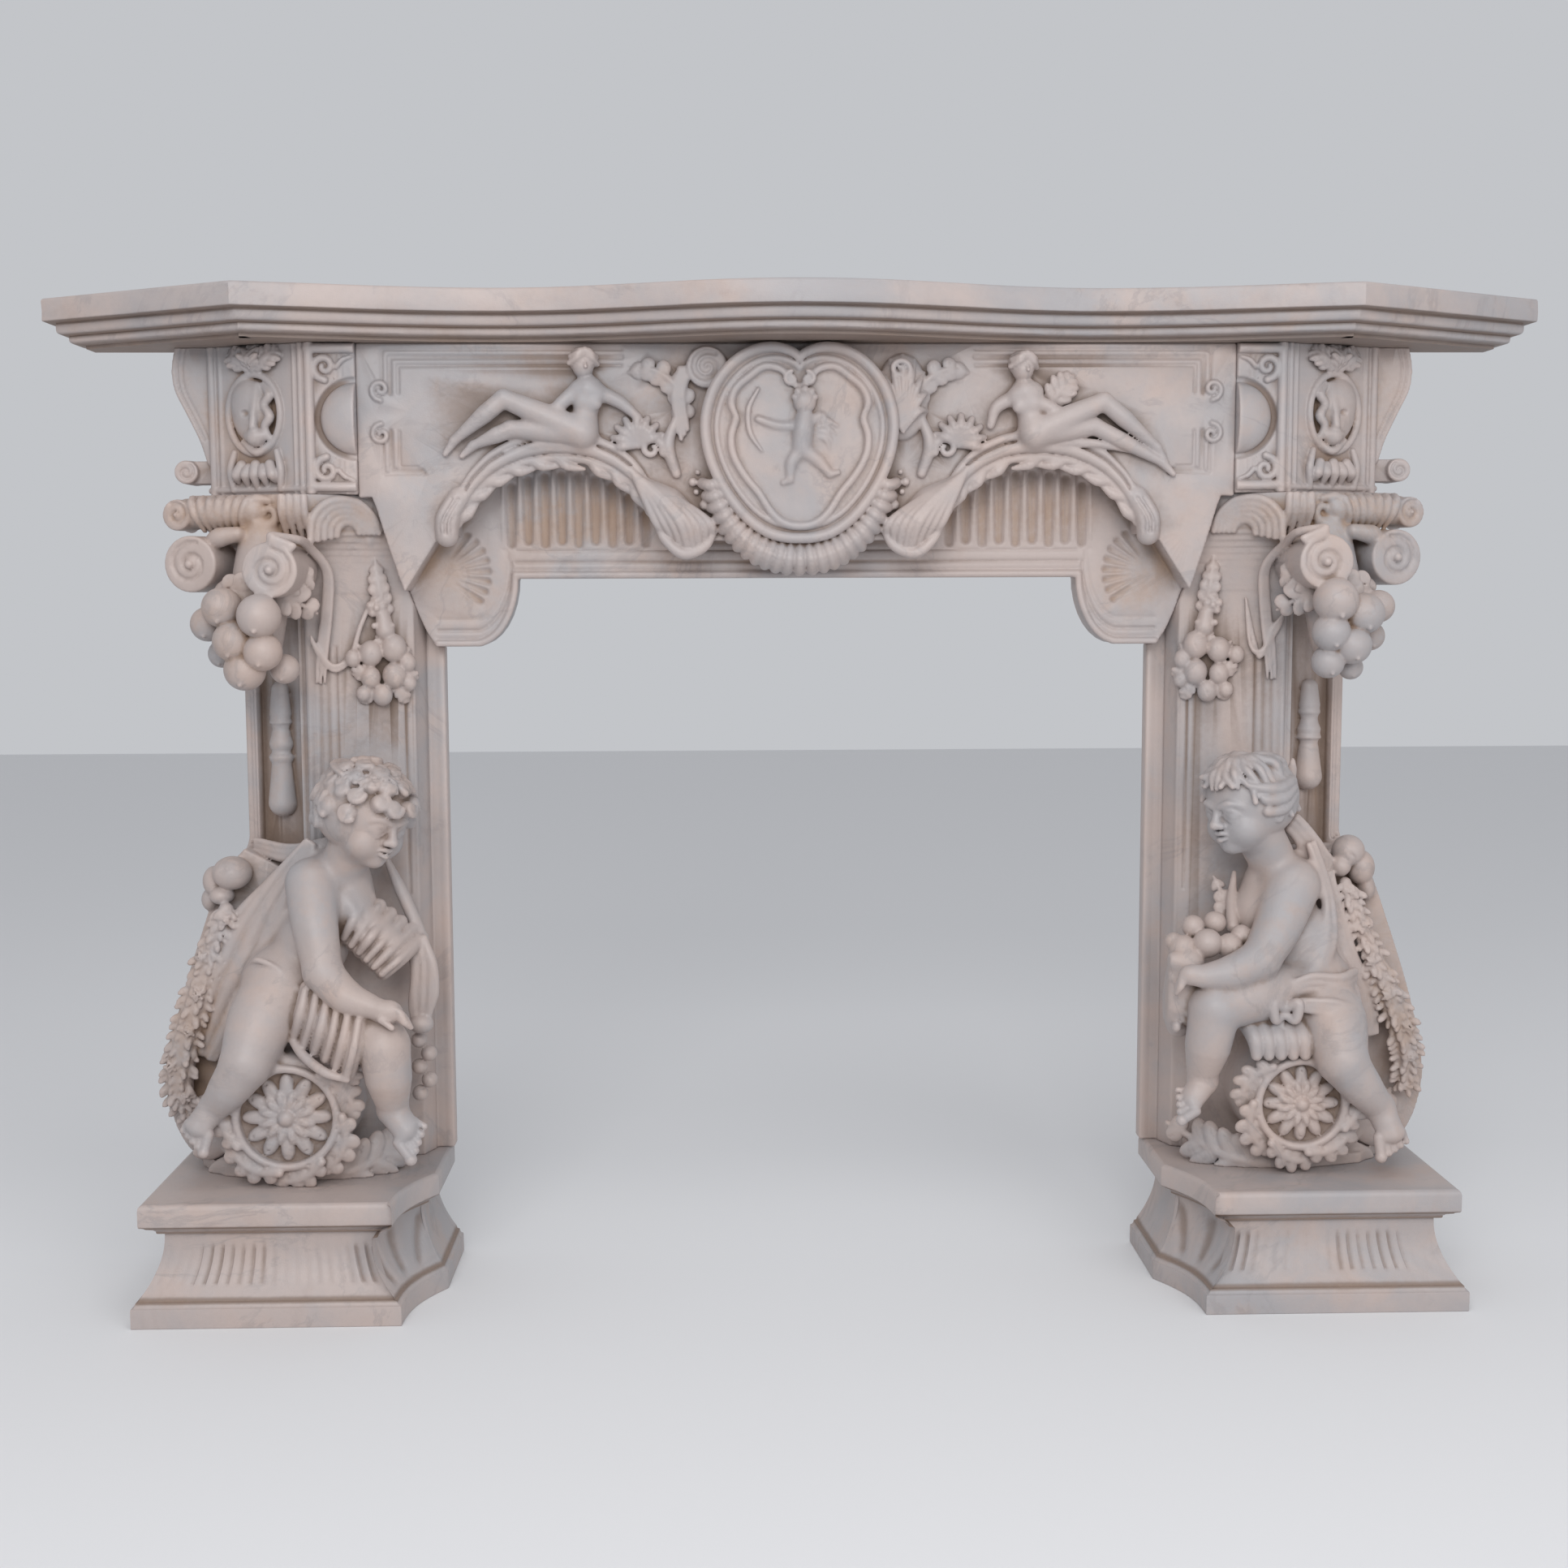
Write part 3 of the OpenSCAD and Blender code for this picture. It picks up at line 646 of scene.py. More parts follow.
def leaf(block, seat, spine, width, lobes, thick, blend=1.6, lean=0.8):
    """A carved leaf: a rib with broad lobes on both sides that lean towards the tip."""
    path = smooth_path([seat.at(*p) for p in spine], 8)
    n = len(path)
    spacing = sum(np.linalg.norm(b - a) for a, b in zip(path, path[1:])) / lobes
    block.tube(path, [thick * 1.3, thick * 1.3, thick * 0.7], blend)
    for k in range(lobes):
        t = (k + 0.55) / (lobes + 0.3)
        i = int(t * (n - 1))
        ahead = unit(path[min(i + 3, n - 1)] - path[max(i - 3, 0)])
        side = unit(np.cross(ahead, seat.out))
        wide = width * math.sin(math.pi * (0.18 + 0.80 * t)) ** 0.7
        for s in (-1, 1):
            tip = path[i] + s * side * wide + ahead * wide * lean - seat.out * thick * 0.6
            along = unit(tip - path[i])
            out = unit(np.cross(along, np.cross(seat.out, along)))
            turn = np.array([along, out, np.cross(along, out)])
            long = np.linalg.norm(tip - path[i]) * 0.58
            block.egg(lerp(path[i], tip, 0.52), (long, thick * 1.2, max(spacing * 0.50, thick)),
                      blend * 0.5, turn)
            block.bar(path[i] + out * thick * 1.5, lerp(path[i], tip, 0.8) + out * thick * 0.9, 0.9,
                      0.7, 0.6, cut=True)
    block.tube([p + seat.out * thick * 1.45 for p in path[: int(n * 0.8)]], 1.1, 0.6, cut=True)


def pleats(block, points, side, widths, count, round_to, blend):
    """Folds of cloth side by side along a path, over a filled ground."""
    path = smooth_path(points, 6)
    n = len(path)
    side = unit(vec(*side))
    wide = taper(widths, n)
    for k in range(count):
        f = (k + 0.5) / count - 0.5
        sway = [0.07 * math.sin(k * 2.4 + i * 0.42) for i in range(n)]
        folds = [p + side * w * (f + v) for p, w, v in zip(path, wide, sway)]
        block.tube(folds, [max(1.4, w / count * round_to) for w in wide], blend)
    for f in (-0.28, 0, 0.28):
        under = [p + side * w * f for p, w in zip(path, wide)]
        block.tube(under, [max(1.2, w * 0.17) for w in wide], 2.0)


def rosette(block, seat, r, petals, rise):
    """An open flower with two rows of petals and a round heart."""
    for row, (where, long, wide, lift) in enumerate(((0.66, 0.34, 0.23, 0.0),
                                                     (0.40, 0.24, 0.15, rise * 0.5))):
        for k in range(petals):
            a = 2 * math.pi * (k + 0.5 * row) / petals
            middle = seat.at(r * where * math.cos(a), r * where * math.sin(a), lift)
            radial = math.cos(a) * seat.right + math.sin(a) * seat.up
            across = np.cross(seat.out, radial)
            block.egg(middle, (r * long, rise * 0.9, r * wide * min(1, 8.5 / petals)), 0.8,
                      np.array([radial, seat.out, across]))
            tip = middle + radial * r * long * 0.7 + seat.out * rise * 0.55
            block.bar(seat.at(0, 0, lift + rise * 0.9), tip, 1.1, 0.8, 0.6, cut=True)
    block.ball(seat.at(0, 0, rise * 0.7), r * 0.2, 0.8)


def bunch(block, fruits, nib=True):
    """Round fruits, each (x, y, z, r); nib adds a small calyx at the end."""
    for x, y, z, r in fruits:
        block.ball((x, y, z), r, 1.2)
        if nib:
            tip = vec(x, y, z) + unit(vec(0.1, -1, -0.9)) * r
            block.ball(tip, max(1.8, r * 0.14), 0.8)


def garland(block, points, widths, seed, leaf_long):
    """Small leaves and flowers heaped along a path."""
    rng = np.random.default_rng(seed)
    path = smooth_path(points, 5)
    wide = taper(widths, len(path))
    block.tube(path, [w * 0.7 for w in wide], 3.0)
    for i, (p, w) in enumerate(zip(path, wide)):
        ahead = unit(path[min(i + 1, len(path) - 1)] - path[max(i - 1, 0)])
        for s in (-1, -0.35, 0.35, 1):
            root = p + vec(s * w * 0.45, -w * 0.62 + abs(s) * w * 0.30, rng.uniform(-3, 3))
            spread = unit(ahead + vec(s * rng.uniform(0.5, 1.5), -0.35, rng.uniform(-0.4, 0.4)))
            out = unit(vec(s * 0.5, -1, 0.1))
            out = unit(np.cross(spread, np.cross(out, spread)))
            size = leaf_long * rng.uniform(0.42, 0.62)
            turn = np.array([spread, out, np.cross(spread, out)])
            block.egg(root + spread * size, (size, 3.4, size * 0.52), 0.8, turn)
            block.bar(root + out * 3.4, root + spread * size * 1.7 + out * 2.4, 0.8, 0.7, 0.5, cut=True)
        if i % 4 == 1:
            rosette(block, Seat(p + vec(rng.uniform(-0.4, 0.4) * w, -w * 0.72, 0)), 10, 5, 4)


# ---------- heads ----------


def calm_head(block, seat, r):
    """A child's head by the book: eyes at half height, full cheeks, closed lips."""
    k = r / 50.0

    def at(right, up, out):
        return seat.at(right * k, up * k, out * k)

    def egg(right, up, out, radii, blend=5.0, cut=False):
        block.egg(at(right, up, out), [v * k for v in radii], blend * k, seat.turn, cut)

    def strip(points, radii, blend):
        run(block, [at(*p) for p in points], [v * k for v in radii], blend * k, steps=5)

    egg(0, 9, -6, (43, 49, 45))
    egg(0, -20, 12, (31, 31, 27), 10)
    for s in (-1, 1):
        egg(s * 19, -17, 22, (17, 18, 17), 9)
        egg(s * 17, 1, 45, (12, 7, 7), 5, cut=True)
    egg(0, -37, 30, (11, 10, 8), 7)
    for s in (-1, 1):
        egg(s * 16, 0.5, 34.5, (9.5, 8.5, 8), 0.8)
        strip([(s * 26, 0, 34), (s * 21, 5.5, 39.5), (s * 14, 6.5, 42.5), (s * 7, 1.5, 42)],
              [1.6, 2.2, 2.2, 1.6], 1.2)
        strip([(s * 25, -1, 34), (s * 17, -6, 40.5), (s * 8, -1.5, 41.5)], [1.2, 1.8, 1.3], 1.2)
        strip([(s * 29, 9, 30), (s * 18, 14.5, 41), (s * 6, 11, 44.5)], [2.6, 4.0, 3.4], 5)
        egg(s * 42, -4, -6, (5, 9, 13), 2)
        egg(s * 46, -4, -4, (4, 5, 8), 1, cut=True)
        egg(s * 5.5, -10.5, 46, (4.2, 4.5, 3.8), 2.5)
    strip([(0, 10, 43), (0, 1, 46), (0, -7, 49)], [3.6, 4.2, 5.2], 4)
    egg(0, -9, 50, (5.6, 6, 5), 2.5)
    strip([(-10, -20.5, 42), (-4.5, -18.3, 46), (0, -19.3, 46.8), (4.5, -18.3, 46), (10, -20.5, 42)],
          [1.6, 3.0, 2.6, 3.0, 1.6], 1.0)
    strip([(-7, -25, 42.5), (0, -26.4, 45.4), (7, -25, 42.5)], [2.0, 3.4, 2.0], 1.0)


def around(seat, r, turn, rise, out):
    """A point on the round of the head; turn goes sideways from the brow, rise upwards, in degrees."""
    a, e = math.radians(turn), math.radians(rise)
    grow = r * out
    return seat.at(grow * 0.90 * math.sin(a) * math.cos(e), grow * (0.16 + 0.94 * math.sin(e)),
                   grow * (-0.10 + 1.0 * math.cos(a) * math.cos(e)))


def curled_hair(block, seat, r):
    """Rows of small round curls that leave the face free."""
    rng = np.random.default_rng(3)
    block.egg(seat.at(0, 0.2 * r, -0.22 * r), (0.97 * r, 1.02 * r, 0.95 * r), 2.0, seat.turn)
    for rise, count in ((-22, 15), (2, 16), (25, 14), (48, 11), (70, 6)):
        for k in range(count):
            turn = 360 * (k + rng.uniform(-0.2, 0.2)) / count + rise * 0.4
            off = abs((turn + 180) % 360 - 180)
            if off < 62 and rise < 20 or off < 95 and rise < -5:
                continue
            p = around(seat, r, turn, rise + rng.uniform(-4, 4), 1.0)
            face = Seat(p, p - seat.origin, rng.uniform(0, 360))
            size = r * rng.uniform(0.19, 0.24)
            block.ball(p, size * 0.86, 1.2)
            curl = coil(face, (0, 0), size * 0.80, 1.25, 0, 1, 0.22, size * 0.42)
            block.tube(curl, [size * 0.36, size * 0.32, size * 0.26], 0.6)


def swept_hair(block, seat, r):
    """Long locks combed from the crown over the head, with a full roll above the ears."""
    rng = np.random.default_rng(5)
    block.egg(seat.at(0, 0.2 * r, -0.2 * r), (0.93 * r, 1.0 * r, 0.92 * r), 2.0, seat.turn)
    for k in range(34):
        turn = -180 + 360 * (k + 0.5) / 34
        low = 27 if abs(turn) < 55 else 4 if abs(turn) < 100 else -22
        wave = rng.uniform(-10, 10)
        lock = [around(seat, r, turn * f + wave * math.sin(g), rise,
                       1.05 + 0.05 * math.sin(g * 2.3 + k * 1.7)) for f, g,
                rise in ((0.35, 0, 80), (0.7, 1.2, 62), (0.9, 2.4, 42), (1.04, 3.6, low))]
        run(block, lock, [3.5, 5.2, 5.2, 3.4], 0.7)
    for s in (-1, 1):
        for row, rise in enumerate((18, 7, -5)):
            roll = [around(seat, r, s * turn, rise + bend + 3 * row * math.sin(turn * 0.06),
                           1.05 - 0.03 * row) for turn,
                    bend in ((52 + 12 * row, 8), (72, 1), (96, -3), (122, 0), (150, -8))]
            run(block, roll, [3.0, 6.8, 7.6, 6.6, 3.0], 0.8)


# ---------- the jambs ----------

PANEL_INNER, ARRIS, OUTER = vec(34, -57), vec(160, -86), vec(249, -44)
CUT_FOOT, CUT_TOP = 6.0, 75.0
NOTCH_Z = BRACKET_Z - PLINTH_H
JAMB_PITCH = 2.0
JAMB_MOST = 190000  # triangles


def panel_y(u):
    """Where the inner panel's face is at u."""
    return PANEL_INNER[1] + (u - PANEL_INNER[0]) / (ARRIS[0] - PANEL_INNER[0]) * (ARRIS[1] - PANEL_INNER[1])


def jamb_body(block):
    """Strip, canted pilaster with its niche, the spreading lower body and the capital's bell."""
    top = JAMB_H
    block.column([(0, 6), (0, -24), (24, -24), (24, 6)], -9, top + 9, 0.5)
    block.column([(22, 6), (22, -28), PANEL_INNER, ARRIS, OUTER, (249, 6)], -9, top + 9, 1.5)
    body = smooth_path([(246, 402), (276, 366), (304, 292), (328, 220), (346, 150), (352, 92),
                        (336, 34), (300, -9)], 4)
    block.slab([(150, 300), (196, 376)] + [tuple(p) for p in body] + [(150, -9)], 84, -6, 12.0)
    face = OUTER - ARRIS
    inward = unit(vec(-face[1], face[0]))
    a, b = lerp(ARRIS, OUTER, 0.15), lerp(ARRIS, OUTER, 0.83)
    block.column([a - inward * 6, b - inward * 6, b + inward * 13, a + inward * 13], 396, top - 150,
                 1.0, cut=True)
    for t in (0.06, 0.10, 0.88, 0.94):
        p = lerp(ARRIS, OUTER, t)
        block.groove((*p, 380), (*p, top - 120), 2.1, 0.6)
    for u in (45, 126, 136, 146, 154):
        block.groove((u, panel_y(u) + 0.2, 340), (u, panel_y(u) + 0.2, top - 186), 2.1, 0.8)
    block.groove((23, -26, 0), (23, -26, top), 1.6, 0.6)
    block.groove((12, -24.5, 0), (12, -24.5, top), 1.2, 0.6)
    shaft = np.array([(22, 6), (22, -30), PANEL_INNER, ARRIS, OUTER, (249, 6)])
    crown = np.array([(60, 6), (60, -68), (104, -96), (162, -126), (300, -80), (316, 6)])
    for k in range(12):
        t = k / 11
        block.column(lerp(shaft, crown, t ** 2.4), top - 118 + 84 * t, top + 9, 5.0)


def drop_of_bells(block, top_z, low_z):
    """A banded drop of bellflowers in the niche."""
    x, y = lerp(ARRIS, OUTER, 0.49) + vec(-2.5, 5)
    cuts = np.array([0, 0.28, 0.36, 0.52, 0.62, 1.0])
    for a, b in zip(cuts, cuts[1:]):
        za, zb = lerp(top_z, low_z, a + 0.012), lerp(top_z, low_z, b - 0.012)
        block.bar((x, y, za - 5), (x, y, zb + 5), 10.5 + 4 * a, 12 + 6 * b, 0.5)
        if b - a > 0.2:
            for s in (-1, 0, 1):
                block.groove((x + s * 5, y - 11 - 5 * b, za - 8), (x + s * 8, y - 12 - 6 * b, zb + 8),
                             1.5, 0.5)


def capital(block, outer_at, inner_at, fruits, frond_ball):
    """Turned-over ribbed leaf, frond, two scrolls, ribbon and hanging fruit."""
    top = JAMB_H
    # ribbed leaf that turns over at the outer corner
    out = unit(vec(0.34, -0.94))
    run(block, [(214, -110, top - 20), (256, -98, top - 22), (298, -82, top - 22)], [17, 19, 17], 3.0)
    for k in range(7):
        t = k / 6
        head = lerp(vec(214, -112), vec(292, -86), t)
        foot_at = lerp(vec(226, -106), vec(276, -90), t)
        path = [(*(head + out * 2), top - 3), (*(lerp(head, foot_at, 0.2) + out * 12), top - 10),
                (*(lerp(head, foot_at, 0.6) + out * 15), top - 26), (*(foot_at + out * 6), top - 44)]
        run(block, path, [3.6, 5.4, 5.0, 2.6], 0.7, steps=4)
    scroll(block, Seat((313, -96, top - 24), (0.3, -1, 0)), (0, 0), 19, 40, 1.2, 60, 1)
    end = Seat((196, -116, top - 24), (0.1, -1, 0))
    block.tube(coil(end, (0, 0), 19, 1.1, 60, -1, 0.25, 2), [7, 5, 4], 1.0)
    line(block, end, [(-2, 16, 0), (14, 18, 4), (20, 8, 6), (14, -12, 6)], [5, 6, 5, 3], 1.0)
    for k in range(4):
        p = vec(306 + 3 * k, -70 + 17 * k, top - 22 - 3 * (k % 2))
        block.egg(p, (12, 13, 19), 2.0)
        block.groove(p + vec(12, -4, 14), p + vec(12, -4, -14), 1.6, 0.8)
    # plain bell with fine ribs, between the leaf and the frond
    for k in range(4):
        x = 150 + 9 * k
        run(block, [(x, -130 + 0.5 * k, top - 4), (x, -128, top - 24), (x - 3, -112, top - 52)],
            [5, 5, 3], 1.0, steps=4)
    # frond over the inner panel, ending in a small ball
    ball = vec(*frond_ball)
    for k in range(5):
        shrink = 1 - 0.17 * k
        arc = []
        for du, dz in ((40, -10), (37, 18), (18, 37), (-10, 37), (-29, 20), (-35, 0)):
            u = 104 + du * shrink
            face_y = np.interp(u, (60, 99, 160), (-74, -94, -128))
            arc.append((u, face_y - 5 + 1.6 * k, top - 46 + dz * shrink))
        run(block, arc, [4.6, 5.8, 5.8, 5.2, 4.6, 4.0], 1.0, steps=5)
    run(block, [(74, -80, top - 34), (68, -78, top - 42), ball], [6, 5.5, 5], 1.2)
    block.ball(ball, 10.5, 1.0)
    # the two scrolls
    outer = Seat((outer_at[0], -126, outer_at[1]), (0.25, -1, 0))
    inner = Seat((inner_at[0], -190, inner_at[1]), (0.05, -1, 0))
    scroll(block, outer, (0, 0), 34, 62, 1.7, 110, -1)
    scroll(block, inner, (0, 0), 33, 96, 1.7, 100, 1)
    run(block, [outer.at(-20, 26, -20), (254, -120, top - 52), (232, -124, top - 48)], [10, 12, 9], 2.0)
    # the inner scroll's band turns over and runs down the edge of the panel
    for k in range(3):
        a, b, c = 3 * k, 5.0 * k, 7.0 * k
        run(block, [inner.at(-22 - a, 22 + a, -6), inner.at(-2, 34 + a, -4), inner.at(-28, 36, -22),
                    (146 + a * 0.3, -128, top - 66 + a), (134 - a, -98, top - 92),
                    (138 - c * 0.6, -90, top - 140), (146 - b, -88, top - 190),
                    (150 - b, -86, top - 230)], [4, 5, 5, 4.4, 3.8, 3.4, 3, 2], 1.0, steps=5)
    # stalk behind the fruits, fruits and leaves
    run(block, [(206, -96, top - 50), (208, -116, top - 120), (206, -122, top - 180)], [30, 36, 24], 6.0)
    for tip, size in (((140, -134, top - 102), 21), ((138, -126, top - 144), 20),
                      ((262, -112, top - 118), 15), ((268, -104, top - 146), 14)):
        root = vec(196, -150, top - 118)
        leaf(block, FRONT, [(root[0], root[2], 146),
                            ((root[0] + tip[0]) / 2, (root[2] + tip[2]) / 2 + 6, 152),
                            (tip[0], tip[2], -tip[1])], size, 4, 3.0)
    bunch(block, fruits)


def fruit_drop(block, x):
    """Fruit and leaves that hang on the inner panel."""
    top = JAMB_H
    y = panel_y(x)
    face = Seat((x, y, 0), (-0.224, -0.975, 0))
    leaf(block, face, [(-6, top - 148, 4), (2, top - 116, 10), (6, top - 78, 5)], 12, 5, 3.2)
    for k in range(5):
        a = math.radians(72 * k + 20)
        block.ball(face.at(6 + 8 * math.cos(a), top - 138 + 8 * math.sin(a), 9), 5.2, 0.8)
    block.ball(face.at(6, top - 138, 12), 5, 0.8)
    run(block, [face.at(-2, top - 148, 6), face.at(-4, top - 166, 8)], [9, 12], 1.5, steps=3)
    for k in range(4):
        block.ball(face.at(-12 + 7 * k, top - 160, 12), 4.2, 0.7)
    for dx, dz in ((-34, -190), (-40, -222), (30, -186), (34, -216), (24, -250), (-28, -250), (0, -170)):
        leaf(block, face, [(dx * 0.35, top + dz * 0.5 - 104, 6), (dx * 0.8, top + dz * 0.8 - 44, 10),
                           (dx, top + dz - 6, 4)], 9, 4, 2.6)
    fruits = ((-14, -188, 16), (14, -194, 14.5), (36, -200, 10), (-30, -206, 11), (-14, -222, 15),
              (15, -224, 12.5), (-32, -232, 9), (1, -246, 12.5), (24, -244, 9))
    for dx, dz, r in fruits:
        p = face.at(dx, top + dz, 9)
        block.egg(p, (r, r * 0.95, r * 1.12), 0.8)
        block.groove(p + vec(-r * 0.5, -r * 0.8, r * 0.5), p + vec(r * 0.1, -r * 0.95, -r * 0.9), 0.8, 0.5)


def seat_scroll(block, at, ring, out_y):
    """The big scroll that carries the child: rolled leaf with a rosette in its eye."""
    x, z = at
    face = Seat((x, -out_y, z))
    drum(block, (x, -60, z), (x, -out_y + 8, z), ring + 20, 10.0, ease_by=14)
    drum(block, face.at(0, 0, -14), face.at(0, 0, 6), ring, 1.5, cut=True)
    circle = [face.at((ring + 5) * math.cos(a), (ring + 5) * math.sin(a), -5)
              for a in np.linspace(0, 2 * math.pi, 33)]
    block.tube(circle, 5.0, 1.5)
    rosette(block, Seat(face.at(0, 0, -12)), ring * 0.98, 12, 8)
    for a0, a1 in ((178, 246), (232, 290), (278, 340), (330, 384), (128, 186)):
        sweep = [math.radians(lerp(a0, a1, t)) for t in (0, 0.35, 0.7, 1)]
        reach = (ring + 12, ring + 20, ring + 24, ring + 19)
        spine = [(x + q * math.cos(a), z + q * math.sin(a), out_y - 2 - sink)
                 for a, q, sink in zip(sweep, reach, (0, 5, 10, 15))]
        leaf(block, FRONT, spine, 15, 5, 4.2, 2.0, 0.7)
    # leaves that spread from under the scroll towards both corners
    leaf(block, FRONT, [(x + 34, 10, out_y - 44), (x + 84, 28, out_y - 66), (x + 140, 84, 98)], 36, 6,
         5.0, 4.0)
    leaf(block, FRONT, [(x - 30, 6, out_y - 40), (x - 84, 14, out_y - 48), (x - 146, 44, 100)], 30, 6,
         5.0, 4.0)
    block.column([(40, 6), (52, -110), (96, -150), (x, -out_y + 30), (x + 90, -140), (x + 128, -96),
                  (x + 128, 6)], -9, 14, 4.0)


def limb(block, points, radii, blend):
    """A rounded arm or leg."""
    run(block, points, radii, blend, steps=5)


def foot(block, ankle, ball_at, toe, wide, size=1.0):
    """A child's foot: heel, instep and five toes; wide is the direction across it."""
    ankle, ball_at, toe = vec(*ankle), vec(*ball_at), vec(*toe)
    wide = unit(vec(*wide))
    ahead = unit(toe - ankle)
    block.tube([ankle, lerp(ankle, ball_at, 0.5), ball_at], [17 * size, 15.5 * size, 12 * size], 5.0)
    block.ball(ankle - ahead * 6 + np.cross(ahead, wide) * 3, 15 * size, 5.0)
    for s in (-1, 1):
        block.bar(lerp(ankle, ball_at, 0.5) + wide * s * 5, ball_at + wide * s * 8 * size, 10 * size,
                  9 * size, 4.0)
    for k in range(5):
        across = wide * ((k - 2) * 8.4 + (-1.5 if k == 0 else 0)) * size
        reach = toe - ahead * (1 + 2.6 * k) + across
        thick = (6.6, 4.7, 4.4, 4.1, 3.8)[k] * size
        block.bar(ball_at + across * 0.85, reach, thick, thick * 0.9, 0.5)
        block.ball(reach, thick * 1.08, 0.4)


def fingers(block, root, across, ahead):
    """Four fingers side by side; across and ahead are the hand's width and the fingers' length."""
    size = 4.2
    for k in range(4):
        p = vec(*root) + vec(*across) * (k - 1.5) * 0.34
        run(block, [p, p + vec(*ahead) * 0.6 + vec(0, -2, 0), p + vec(*ahead) + vec(0, 4, -3)],
            [size, size, size * 0.75], 1.0, steps=3)


def ladder(low_from, low_to, high_from, high_to):
    """Six numbered pairs of points, for bands of cloth side by side."""
    for k in range(6):
        t = k / 5
        yield k, lerp(vec(*low_from), vec(*low_to), t), lerp(vec(*high_from), vec(*high_to), t)


def start_jamb(bells_top, bells_low):
    """The body and the drop of bells, which both jambs have."""
    block = Block((-6, -246, -6), (364, 4, JAMB_H + 6), JAMB_PITCH)
    jamb_body(block)
    drop_of_bells(block, JAMB_H - bells_top, JAMB_H - bells_low)
    return block


